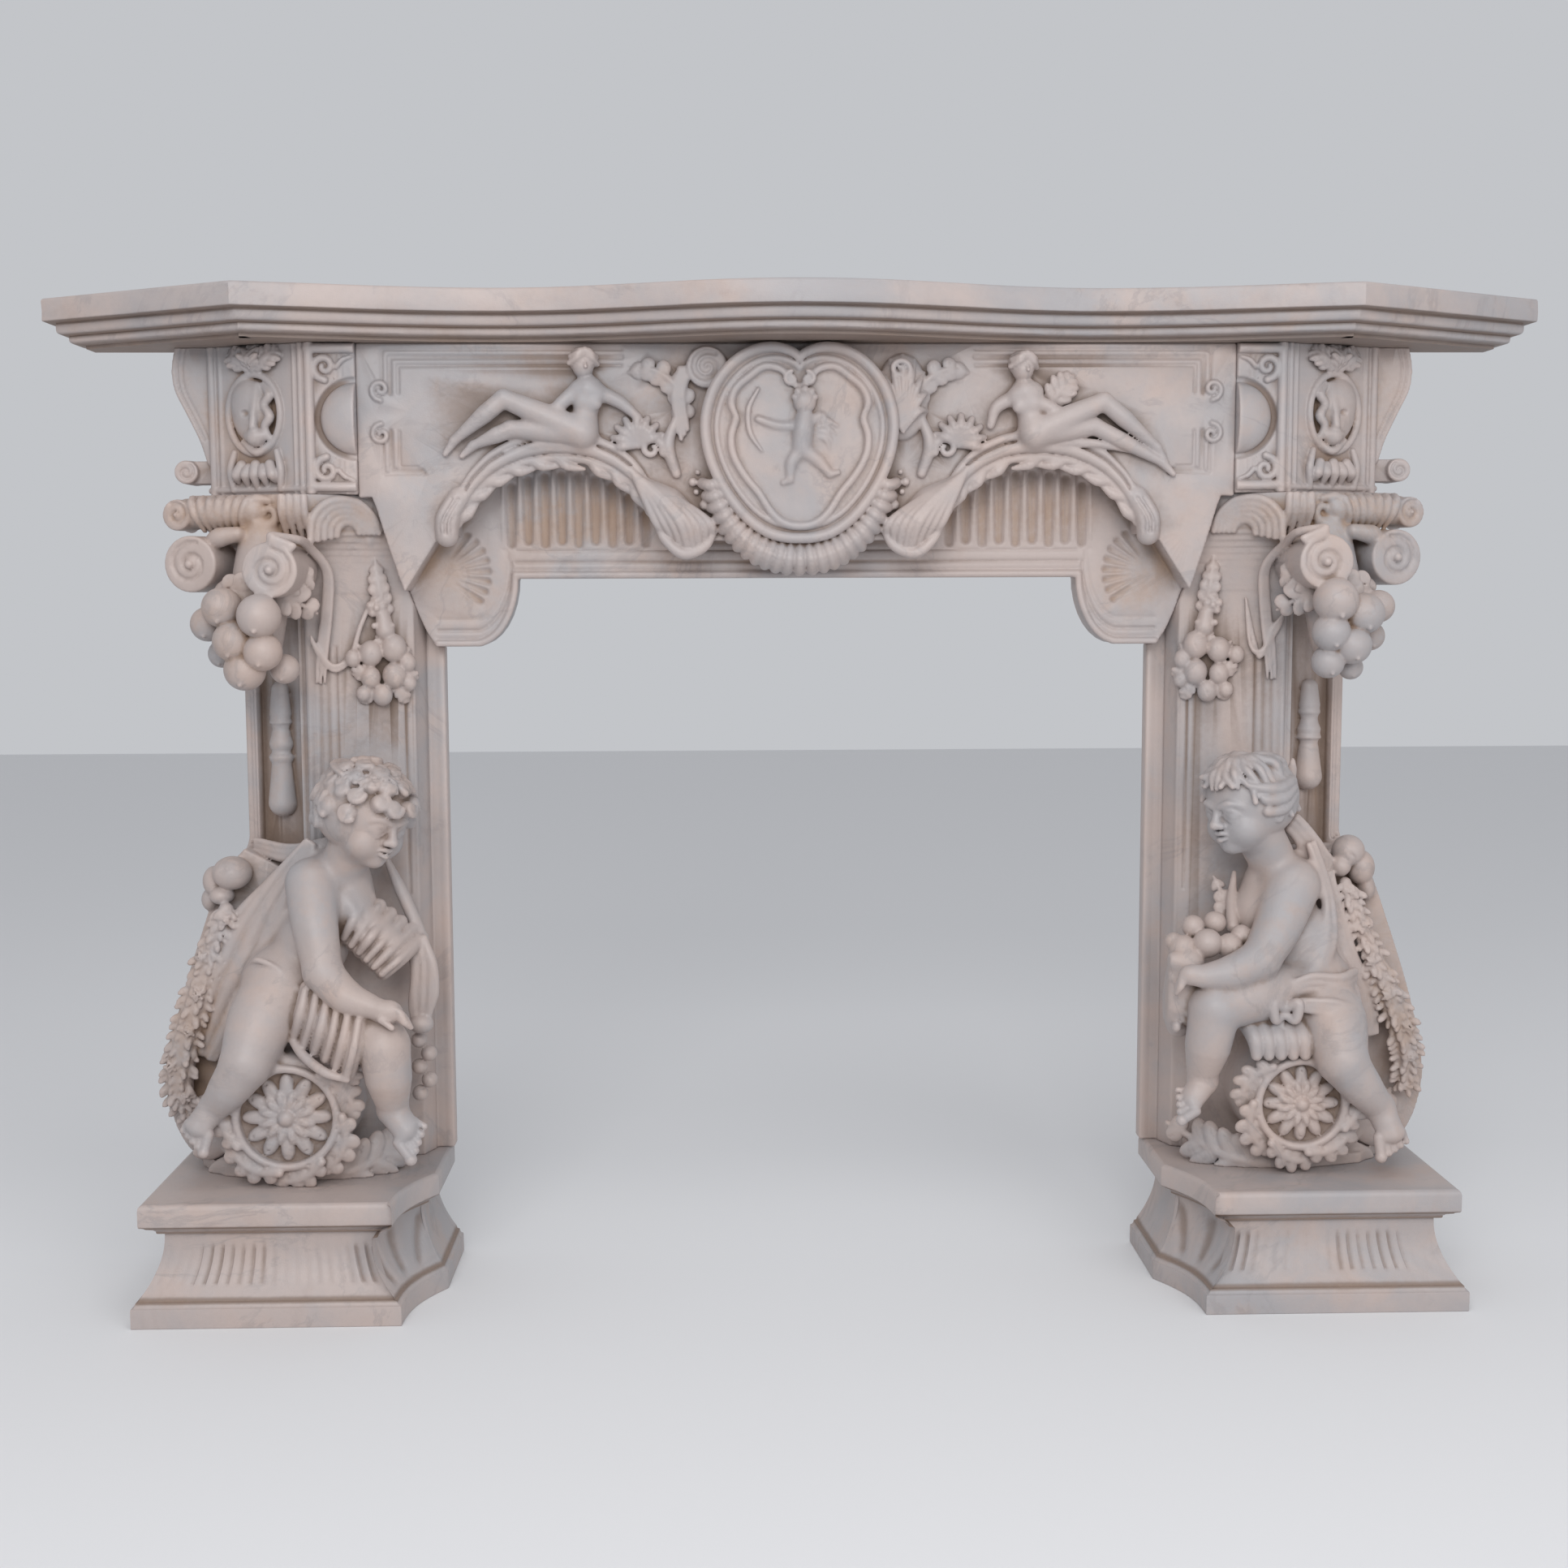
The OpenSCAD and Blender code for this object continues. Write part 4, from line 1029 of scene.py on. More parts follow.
def jamb_left_stone():
    """The left jamb, carved as if it stood at the right and mirrored afterwards."""
    block = start_jamb(232, 388)
    top = JAMB_H
    capital(block, (290, top - 84), (180, top - 92),
            [(241, -172, top - 136, 24), (193, -192, top - 146, 26), (228, -178, top - 176, 24),
             (191, -186, top - 188, 23), (216, -172, top - 210, 25), (266, -142, top - 156, 21),
             (252, -134, top - 192, 17), (174, -150, top - 210, 18)], (84, -72, top - 54))
    fruit_drop(block, 72)
    swag = [(154, -94, top - 172), (146, -90, top - 190), (128, -86, top - 210), (108, -80, top - 196),
            (96, -78, top - 160), (84, -76, top - 132)]
    run(block, swag, [2, 3.4, 3.4, 3, 2], 0.8)
    run(block, [vec(*p) - vec(0, 0, 5) for p in swag], [1.6, 2.6, 2.6, 2.4, 1.6], 0.8)

    # cloth that falls from the shoulder over the back, and its knot
    back = [(158, -112, 414), (196, -112, 356), (232, -110, 296), (262, -112, 232), (300, -104, 150)]
    pleats(block, back, (0.80, 0.1, 0.45), [16, 46, 66, 72, 40], 5, 0.52, 1.6)
    for k in range(3):
        run(block, [(140 + 8 * k, -106, 416 - 5 * k), (186 + 4 * k, -88, 404 - 7 * k),
                    (236, -62, 410 - 6 * k)], [3, 5, 4], 1.6)
    block.egg((258, -98, 374), (24, 24, 21), 3.0)
    block.egg((284, -84, 362), (14, 18, 19), 2.5)
    block.egg((290, -78, 338), (12, 16, 15), 2.0)
    block.egg((272, -96, 346), (15, 18, 12), 2.0)
    for k in range(4):
        run(block, [(244 + 6 * k, -124 + 2 * k, 384), (256 + 7 * k, -127 + 3 * k, 372),
                    (252 + 8 * k, -120 + 3 * k, 354)], [1.8, 2.2, 1.6], 0.8, cut=True)
    garland(block, [(264, -110, 330), (286, -108, 272), (304, -108, 214), (322, -106, 158),
                    (330, -104, 104), (316, -96, 66)], [13, 20, 25, 27, 24, 14], 11, 17.0)

    # the child's body
    block.egg((124, -112, 354), (42, 38, 56), 16)
    block.egg((112, -122, 334), (34, 34, 34), 12)
    block.egg((156, -120, 288), (44, 46, 46), 16)
    block.egg((192, -126, 244), (50, 48, 46), 14)
    limb(block, [(114, -128, 388), (98, -140, 414)], 29, 9)
    seat_scroll(block, (179, 87), 56, 196)
    limb(block, [(188, -142, 238), (208, -176, 204), (221, -204, 162)], [47, 41, 31], 12)
    limb(block, [(221, -206, 158), (243, -202, 128), (266, -190, 100)], [30, 25, 17], 6)
    foot(block, (266, -190, 102), (282, -204, 80), (290, -210, 60), (16, 2, 9))
    limb(block, [(160, -140, 222), (108, -174, 204), (58, -202, 180)], [42, 37, 31], 12)
    limb(block, [(56, -206, 176), (52, -204, 140), (50, -190, 98)], [31, 28, 18], 5)
    foot(block, (50, -190, 94), (32, -204, 74), (14, -210, 56), (-10, 6, 14), 1.08)
    limb(block, [(150, -142, 366), (142, -172, 322), (130, -190, 268)], [33, 28, 23], 10)
    limb(block, [(130, -191, 266), (100, -208, 240), (66, -216, 228)], [23.5, 21, 14], 6)
    block.egg((50, -216, 222), (19, 13, 15), 4)
    fingers(block, (38, -222, 222), (6, 1, 12), (-14, -1, -9))
    block.bar((56, -226, 216), (42, -230, 206), 4.8, 3.6, 1.5)

    # sash in close folds across the chest and cloth over the lap
    run(block, [(126, -134, 372), (104, -148, 340), (88, -146, 300)], [7, 9, 9], 3.0)
    for k, low, high in ladder((112, -150, 300), (66, -156, 256), (86, -132, 346), (26, -106, 290)):
        middle = (low + high) / 2 + vec(0, -14 + 3 * math.sin(k * 2.2), 0)
        run(block, [low + vec(0, 10, 0), middle + vec(0, 11, 0), high + vec(0, 10, 0)], [9, 10, 9], 2.0,
            steps=4)
        run(block, [low, middle, high], [4.4, 6.4 - 1.4 * (k % 2), 4.4], 0.7, steps=5)
    run(block, [(92, -130, 318), (62, -126, 290)], [20, 18], 4.0)
    run(block, [(70, -90, 392), (52, -88, 350), (30, -94, 300)], [4, 8, 8], 3.0)
    pleats(block, [(30, -106, 292), (22, -112, 262), (24, -112, 222), (26, -108, 190)], (1, 0.1, 0),
           [26, 36, 36, 26], 4, 0.55, 1.4)
    block.egg((26, -112, 184), (15, 14, 12), 1.5)
    for k in range(5):
        block.egg((26 + 6 * (-1) ** k, -96, 160 - 17 * k), (10, 12, 10), 1.2)
    for k, low, high in ladder((168, -186, 186), (98, -222, 148), (150, -196, 246), (82, -224, 214)):
        middle = (low + high) / 2 + vec(-3, -11 + 2 * math.sin(k * 2.0), 0)
        run(block, [low + vec(0, 10, 0), middle + vec(0, 10, 0), high + vec(0, 10, 0)], [9, 10, 9], 2.0,
            steps=4)
        run(block, [low, middle, high], [5.0, 6.6 - 1.6 * (k % 2), 4.6], 0.8, steps=5)
    run(block, [(176, -178, 190), (156, -198, 168), (126, -216, 150), (98, -222, 142)], [5, 6, 6, 4], 1.6)
    leaf(block, FRONT, [(98, 156, 196), (94, 142, 196), (98, 128, 190)], 9, 3, 3.5)
    run(block, [(232, -128, 250), (216, -164, 276), (188, -176, 268), (164, -180, 246),
                (152, -196, 232)], [3, 4, 4, 3.4, 2.4], 1.6)

    # head with its wreath
    head = Seat((82, -148, 446), (-0.74, -0.60, -0.30), 8)
    block.bar((96, -116, 448), (104, -66, 452), 46, 42, 10)
    calm_head(block, head, 55)
    curled_hair(block, head, 59)
    for turn in (-14, 22, 58, 94, 130):
        p = around(head, 59, turn, 52 - 0.08 * turn, 1.06)
        rosette(block, Seat(p, p - head.origin), 18, 6, 4)
    for grow in (1.16, 1.24):
        band = [around(head, 59, turn, 30 + 40 * (grow - 1.16) * 3, grow - 0.08)
                for turn in range(96, 236, 20)]
        run(block, band, [3, 5, 5, 3], 1.6)
    return block


def jamb_right_stone():
    """The right jamb, with its own child, who holds fruit."""
    block = start_jamb(236, 362)
    top = JAMB_H
    capital(block, (286, top - 80), (180, top - 86),
            [(192, -188, top - 132, 27), (230, -176, top - 148, 25), (188, -186, top - 170, 23),
             (216, -180, top - 186, 23), (188, -176, top - 206, 20), (258, -144, top - 140, 20),
             (250, -140, top - 176, 18), (224, -150, top - 214, 15)], (85, -72, top - 44))
    fruit_drop(block, 68)
    for row in (0, 6):
        run(block, [(156, -94, top - 150), (150 - row, -90, top - 168), (130, -88, top - 196 - row),
                    (118 + row, -82, top - 186), (112, -80, top - 130)], [2, 3, 3.2, 3, 2], 0.8)

    # straps, knot and garland at the back
    pleats(block, [(168, -112, 428), (196, -112, 396), (220, -106, 372)], (0.5, 0, 0.8), [26, 30, 22],
           4, 0.55, 1.4)
    block.egg((244, -98, 392), (20, 22, 20), 1.5)
    block.egg((262, -92, 370), (17, 22, 22), 1.5)
    block.egg((270, -88, 344), (11, 18, 18), 1.5)
    block.egg((232, -102, 374), (14, 18, 14), 1.5)
    for k in range(4):
        run(block, [(232 + 8 * k, -119, 398 - 8 * k), (244 + 8 * k, -119, 388 - 8 * k),
                    (248 + 7 * k, -112, 370 - 8 * k)], [1.2, 1.5, 1], 0.6, cut=True)
    pleats(block, [(216, -112, 366), (222, -116, 320), (236, -118, 268), (262, -112, 216),
                   (276, -112, 160)], (1, 0, 0.2), [14, 22, 30, 30, 16], 3, 0.55, 1.4)
    pleats(block, [(188, -126, 404), (206, -134, 350), (208, -146, 300), (194, -160, 262),
                   (164, -176, 240)], (1, 0.5, 0.3), [14, 16, 18, 20, 14], 2, 0.6, 2.0)
    garland(block, [(238, -108, 352), (256, -110, 300), (280, -110, 244), (304, -108, 190),
                    (320, -106, 140), (322, -100, 92)], [11, 15, 20, 24, 22, 14], 23, 16.0)
    pleats(block, [(296, -112, 200), (308, -112, 150), (316, -106, 100)], (1, 0, 0.2), [14, 20, 10], 3,
           0.5, 1.4)

    # the child's body
    block.egg((152, -112, 340), (46, 38, 58), 16)
    block.egg((126, -120, 316), (34, 34, 40), 12)
    block.egg((176, -118, 276), (46, 44, 50), 16)
    block.egg((196, -124, 226), (50, 46, 46), 14)
    limb(block, [(136, -126, 392), (120, -138, 418)], 29, 9)
    seat_scroll(block, (166, 90), 49, 192)
    limb(block, [(192, -136, 214), (206, -172, 190), (208, -204, 152)], [47, 41, 31], 12)
    limb(block, [(209, -206, 148), (234, -202, 116), (263, -190, 84)], [30, 25, 17], 6)
    foot(block, (262, -190, 84), (272, -204, 56), (277, -208, 32), (18, 2, 4), 1.05)
    limb(block, [(160, -136, 214), (110, -168, 226), (56, -190, 214)], [42, 38, 32], 12)
    limb(block, [(54, -192, 210), (48, -188, 166), (44, -176, 124)], [31, 28, 18], 5)
    foot(block, (45, -178, 116), (28, -192, 98), (8, -198, 90), (-3, 12, 12))
    limb(block, [(160, -140, 354), (136, -168, 308), (112, -188, 274)], [35, 29, 24], 10)
    limb(block, [(110, -189, 272), (72, -200, 258), (36, -204, 254)], [24, 21, 14], 6)
    block.egg((24, -204, 256), (17, 12, 13), 4)
    fingers(block, (14, -206, 256), (2, 1, 12), (-8, 2, -14))

    # fruits in the arm and the bunch that hangs below the hand
    bunch(block, [(22, -160, 280, 17), (50, -168, 288, 18), (78, -166, 284, 16), (36, -150, 306, 14),
                  (64, -146, 310, 14), (94, -158, 296, 13), (8, -176, 268, 11), (12, -152, 288, 11)],
          False)
    leaf(block, FRONT, [(74, 300, 120), (84, 330, 112), (74, 360, 96)], 10, 4, 3.0)
    run(block, [(98, -104, 366), (92, -118, 334), (88, -140, 304)], [3, 7, 8], 2.0)
    run(block, [(24, -170, 262), (18, -160, 214), (20, -150, 182)], [22, 24, 15], 5.0)
    rng = np.random.default_rng(31)
    for k in range(26):
        p = vec(20 + rng.uniform(-17, 17), -172 + rng.uniform(-6, 8), 250 - 2.6 * k + rng.uniform(-3, 3))
        block.egg(p, (6, 8, 8), 0.8)

    # cloth at the waist, its knot, and the ribbed roll of the seat
    pleats(block, [(240, -146, 238), (214, -174, 236), (178, -180, 240), (144, -182, 234),
                   (116, -176, 256)], (0.1, 0, 1), [26, 32, 28, 18, 12], 4, 0.46, 2.0)
    for k in range(3):
        run(block, [(242, -150, 226 - 7 * k), (228, -190, 212 - 5 * k), (196, -200, 220 - 7 * k),
                    (160, -192, 220 - 5 * k)], [4, 5.5, 5.5, 4], 2.0)
    for s in (-1, 1):
        run(block, [(140, -190, 210), (140 + s * 15, -198, 218), (140 + s * 12, -198, 198),
                    (140, -190, 204)], [6, 7, 6, 5], 1.2)
    pleats(block, [(140, -184, 204), (132, -190, 186), (130, -188, 170)], (1, 0, 0.2), [10, 16, 14], 3,
           0.55, 1.2)
    for k in range(6):
        x = 96 + 15 * k
        run(block, [(x, -120, 192), (x + 2, -168, 190), (x + 8, -192, 174), (x + 10, -196, 154)],
            [9, 11, 10, 7], 1.0, steps=4)

    # head with long locks
    head = Seat((102, -144, 452), (-0.86, -0.46, -0.16), 4)
    block.bar((112, -116, 454), (118, -66, 456), 46, 42, 10)
    calm_head(block, head, 55)
    swept_hair(block, head, 58)
    run(block, [around(head, 59, -10, 50, 1.0), around(head, 59, -18, 38, 1.10),
                around(head, 59, -24, 34, 1.20)], [6, 5.5, 3], 1.0)
    run(block, [around(head, 59, 150, 20, 1.0), around(head, 59, 158, 24, 1.12),
                around(head, 59, 160, 30, 1.24)], [7, 6, 3], 1.0)
    return block


JAMB_RUST = [((304, -100, 210), (52, 60, 150), 0.9), ((330, -90, 110), (40, 60, 80), 0.9),
             ((228, -60, 520), (30, 40, 120), 0.7), ((200, -90, 806), (150, 70, 44), 0.9),
             ((230, -140, 670), (90, 90, 80), 0.55), ((180, -150, 120), (60, 60, 90), 0.3)]


def finish_jamb(name, block, mirrored):
    """Trims the stone to its bed, wall face and the cut that takes the lintel."""
    cut = [(-40, NOTCH_Z), (CUT_FOOT, NOTCH_Z)]
    cut += [(lerp(CUT_FOOT, CUT_TOP, t ** 0.75), lerp(NOTCH_Z, JAMB_H, t)) for t in np.linspace(0, 1, 14)]
    cut += [(CUT_TOP, JAMB_H + 40), (-40, JAMB_H + 40)]
    block.slab(cut, 300, -20, 0.3, cut=True)
    block.keep_inside((0.3, -239, 0), (355.5, 0, JAMB_H))
    return stone_from_block(name, block, JAMB_MOST, (LEG_X, 0, PLINTH_H), mirrored, JAMB_RUST)


# ---------- the lintel ----------

BAND, PANEL = 52.0, 100.0  # how far the fluted band and the panel stand out
OPENING_Z = 884.0
SHIELD_Z = 1050
ARCH_STEPS = 26
LINTEL_MOST, BLOCK_MOST = 195000, 90000  # triangles
CUT_LOW_X = LEG_X + CUT_FOOT
CUT_HIGH_X = LEG_X + CUT_TOP


def arch_curve(lift=0.0, spread=0.0):
    """The scroll arch over the flutes, from its outer end to its inner end."""
    points = [(420 + spread, 936), (414 + spread, 962 + lift * 0.5), (388, 1000 + lift),
              (346, 1026 + lift), (296, 1035 + lift), (246, 1028 + lift), (206, 1004 + lift),
              (178, 972 + lift * 0.6), (158 - spread, 944)]
    path = smooth_path(points, 5)
    return [path[i] for i in np.linspace(0, len(path) - 1, ARCH_STEPS).astype(int)]


def bracket_edge(grow=0.0):
    """The stone's lower edge from the middle of the opening outwards; grow moves it into the stone."""
    corner = [(406.5 - 53.5 * math.sin(a) + grow * math.sin(a) * 0.3,
               OPENING_Z - 85 * math.cos(a) + grow * math.cos(a) + grow * (1 - math.cos(a)))
              for a in np.linspace(math.pi / 2, 0, 9)]
    return [(0, OPENING_Z + grow)] + corner + [(CUT_LOW_X - 2, BRACKET_Z + grow)]


def rim_line(block, outline, y, r, blend, cut=False):
    """A ridge or groove that follows a closed outline on a face."""
    run(block, [(x, y, z) for x, z in outline + outline[:1]], r, blend, cut, 3)


SHIELD = [(0, 100), (10, 108), (30, 114), (56, 111), (82, 96), (104, 70), (116, 38), (118, 6),
          (110, -30), (92, -66), (66, -98), (40, -116), (18, -122), (0, -123)]
FIELD = [(0, 62), (7, 66), (14, 76), (26, 86), (44, 88), (62, 76), (78, 62), (84, 44), (78, 26),
         (84, 6), (82, -18), (68, -44), (50, -66), (36, -88), (20, -102), (0, -106)]


def both_sides(outline, scale=1.0):
    """A closed outline around the shield's middle, from its right half."""
    right = [(x * scale, SHIELD_Z + z * scale) for x, z in outline]
    return right + [(-x, z) for x, z in reversed(right[1:-1])]


def lintel_half(block):
    """What is the same on both halves; carved on the right one and then copied across."""
    cut_side = [(lerp(CUT_LOW_X, CUT_HIGH_X, t ** 0.75), lerp(BRACKET_Z, BLOCK_Z, t))
                for t in np.linspace(0, 1, 12)]
    top = [(CUT_HIGH_X, BLOCK_Z), (JOINT_X, BLOCK_Z), (JOINT_X, SHELF_Z + 8), (-12, SHELF_Z + 8)]
    block.slab([(-12, OPENING_Z)] + bracket_edge() + cut_side + top, BAND, -8, 0.5)
    arch = arch_curve()
    panel = [(-12, SHELF_Z + 8), (JOINT_X, SHELF_Z + 8), (JOINT_X, BLOCK_Z - 4),
             (CUT_HIGH_X - 1, BLOCK_Z - 3)]
    panel += [(x - 1.5, z) for x, z in reversed(cut_side[4:11])] + [(438, 940)]
    panel += [tuple(p) for p in arch] + [(146, 930), (-12, 928)]
    block.slab(panel, PANEL, 20, 2.0)
    # mouldings along the opening
    for grow, r in ((9, 2.2), (20, 2.4), (34, 2.0)):
        run(block, [(x, -BAND, z) for x, z in bracket_edge(grow)][1:], r, 0.8, True, 3)
        block.groove((-8, -BAND, OPENING_Z + grow), (353, -BAND, OPENING_Z + grow), r, 0.8)
    run(block, [(x, -BAND + 1, z) for x, z in bracket_edge(4)][1:], 4.5, 2.0)
    block.tube([(-8, -BAND + 1, OPENING_Z + 4), (353, -BAND + 1, OPENING_Z + 4)], 4.5, 2.0)
    # upright flutes under the arch
    for k in range(9):
        x = 190 + 21 * k
        high = np.interp(x, [p[0] for p in reversed(arch)], [p[1] for p in reversed(arch)]) - 24
        block.bar((x, -BAND - 1, high), (x, -BAND - 1, 926 + 4 * (k % 2)), 7.0, 6.0, 0.8, cut=True)
        block.bar((x + 10.5, -BAND, high + 6), (x + 10.5, -BAND, 930), 2.2, 1.6, 1.0)
    run(block, [(178, -BAND, 920), (280, -BAND, 917), (370, -BAND, 919)], 1.6, 0.8, True)
    # slanted flutes in the bracket
    for k in range(8):
        a = math.radians(98 + 13 * k) - 1.1
        far, near = [(446 - r * math.sin(a), -BAND - 1, 890 + r * math.cos(a)) for r in (58, 24)]
        block.bar(far, near, 5.0, 2.6, 0.8, cut=True)
    # arch mouldings: one large roll, two fine ones and the leaf edge
    for lift, r, y in ((8, 7.5, -104), (22, 5.5, -103), (-5, 5.0, -100)):
        run(block, [(x, y, z) for x, z in arch_curve(lift, lift * 0.4)[2:-1]], [r * 0.7, r, r, r * 0.9],
            1.6, steps=2)
    run(block, [(x, -PANEL - 6, z) for x, z in arch_curve(15, 4)[3:-2]], 2.2, 0.8, True, 2)
    run(block, [(x, -PANEL - 1, z) for x, z in arch_curve(31, 4)[3:-2]], 2.2, 0.8, True, 2)
    edge = arch_curve(-8)
    for i in range(3, 24, 2):
        x, z = edge[i]
        swirl = Seat((x, -PANEL + 4, z))
        step = edge[min(i + 2, 25)] - edge[i]
        ahead = unit(step)
        down = vec(ahead[1], -ahead[0]) * (-1 if ahead[0] > 0 else 1)
        down = down if down[1] < 0 or abs(down[1]) < 0.3 else -down
        run(block, [swirl.at(*(down * -3), 2), swirl.at(*(ahead * 14 + down * 5), 4),
                    swirl.at(*(ahead * 34 + down * 7), 1)], [6.5, 6.5, 2.6], 1.2, steps=4)
        block.bar(swirl.at(*(ahead * 4 + down * 2), 6), swirl.at(*(ahead * 18 + down * 6), 7), 1.1, 0.8,
                  0.6, cut=True)
    # outer end of the arch: a small rounded fold
    run(block, [(416, -PANEL, 982), (429, -PANEL - 4, 956), (431, -PANEL - 1, 936)], [13, 15, 14], 3.0)
    for off in (-8, 0, 8):
        run(block, [(415 + off, -PANEL - 13, 980), (429 + off, -PANEL - 18, 956),
                    (431 + off, -PANEL - 14, 938)], [2.0, 2.6, 1.8], 0.9, True)
    # inner end: a long ribbed leaf that hangs with a rounded tip
    for k in range(8):
        f = (k - 3.5) / 3.5
        run(block, [(200 + 6 * f, -PANEL - 8, 1010 + 6 * f),
                    (168 + 22 * f, -PANEL - 18 + 6 * abs(f), 980 + 4 * f),
                    (142 + 32 * f, -PANEL - 26 + 12 * abs(f), 950),
                    (134 + 26 * f, -PANEL - 13 + 8 * abs(f), 922 + 14 * f * f)], [3.5, 5.4, 5.8, 4.6],
            0.6)
    run(block, [(176, -PANEL - 8, 952), (164, -PANEL - 11, 930), (142, -PANEL - 12, 913),
                (116, -PANEL - 8, 922), (102, -PANEL - 5, 946)], [4, 6, 7, 6, 4], 1.4)
    run(block, [(196, -PANEL, 1000), (162, -PANEL + 2, 972), (139, -PANEL + 2, 944)], [9, 23, 24], 3.0)
    # shell-like leaf on the arch and its beads
    shell = Seat((196, -PANEL, 1052))
    run(block, coil(shell, (-16, -12), 15, 1.2, 200, -1, 0.25, 6), [5, 4, 3], 1.2, steps=1)
    for k in range(8):
        a = math.radians(-10 + 24 * k)
        reach = 30 + 4 * math.sin(k * 0.45)
        middle = shell.at(0.6 * reach * math.cos(a), 0.6 * reach * math.sin(a) - 6, 9)
        end = shell.at(reach * math.cos(a), reach * math.sin(a) - 6, 3)
        run(block, [shell.at(0, -8, 3), middle, end], [3.5, 5.6, 4.0], 1.2, steps=3)
    for x, z, r in ((130, 1000, 5.5), (126, 988, 4), (116, 972, 6.5), (124, 1012, 3.5)):
        block.ball((x, -PANEL - 5, z), r, 0.8)
    # frond beside the shield
    leaf(block, FRONT, [(140, 1070, PANEL + 2), (146, 1110, PANEL + 7), (176, 1134, PANEL + 7),
                        (206, 1132, PANEL + 1)], 15, 6, 3.6)
    run(block, [(150, -PANEL - 3, 1010), (160, -PANEL - 5, 1044), (150, -PANEL - 5, 1076)], [6, 8, 5], 2.0)
    # panel fillets
    for inset, r in ((8, 2.4), (17, 3.4), (27, 2.4)):
        side_x, top, low = JOINT_X - 24 - inset, SHELF_Z - inset, BLOCK_Z + 22 + inset * 0.4
        run(block, [(216, -PANEL, top), (380, -PANEL, top), (side_x, -PANEL, top)], r, 0.7, True, 2)
        block.groove((side_x, -PANEL, top), (side_x, -PANEL, 1108), r, 0.7)
        block.groove((side_x, -PANEL, 1062), (side_x, -PANEL, low), r, 0.7)
        block.groove((side_x, -PANEL, low), (452 + inset * 0.5, -PANEL, low), r, 0.7)
    side = Seat((JOINT_X - 26, -PANEL, 0))
    for z, way in ((1112, -1), (1058, 1)):
        block.tube(coil(side, (-4, z), 13, 1.25, 90 * way, -way, 0.2, 1), [3.4, 3.2, 2.4], 1.0)
    # gadroons below the shield
    for k in range(13):
        a = math.radians(5.9 * k)
        inner = (100 * math.sin(a), 1034 - 108 * math.cos(a))
        outer = (124 * math.sin(a) ** 0.9, 1044 - 158 * math.cos(a))
        if outer[1] > 996:
            continue
        middle = ((inner[0] + outer[0]) / 2, -124, (inner[1] + outer[1]) / 2)
        run(block, [(inner[0], -112, inner[1]), middle, (outer[0], -108, outer[1] + 6),
                    (outer[0] * 0.98, -84, outer[1] + 12)], [5, 7.0, 7.0, 5], 1.6, steps=4)
    skirt = [(118 * math.sin(a) ** 0.9, 1044 - 150 * math.cos(a))
             for a in np.linspace(0, math.radians(72), 12)]
    block.slab([(-12, 1000), (-12, 896)] + skirt + [(100, 1010)], 112, 40, 6.0)
    # shield
    block.slab(both_sides(SHIELD), 124, 60, 2.0)
    rim_line(block, both_sides(SHIELD, 0.965), -124, 6.5, 1.5)
    rim_line(block, both_sides(SHIELD, 0.89), -125, 2.0, 0.8, True)
    rim_line(block, both_sides(SHIELD, 0.85), -124, 3.6, 1.2)
    rim_line(block, both_sides(FIELD, 0.985), -126, 5.0, 2.5)
    rim_line(block, both_sides(FIELD, 0.90), -126, 2.2, 1.5, True)
    for s in (-1, 1):
        curl = Seat((s * 10, -127, SHIELD_Z + 72))
        block.tube(coil(curl, (0, 0), 9, 1.1, 90, -s, 0.25, 2), [3.4, 3, 2.4], 1.0)
    block.egg((0, -112, 1046), (66, 17, 78), 6.0)


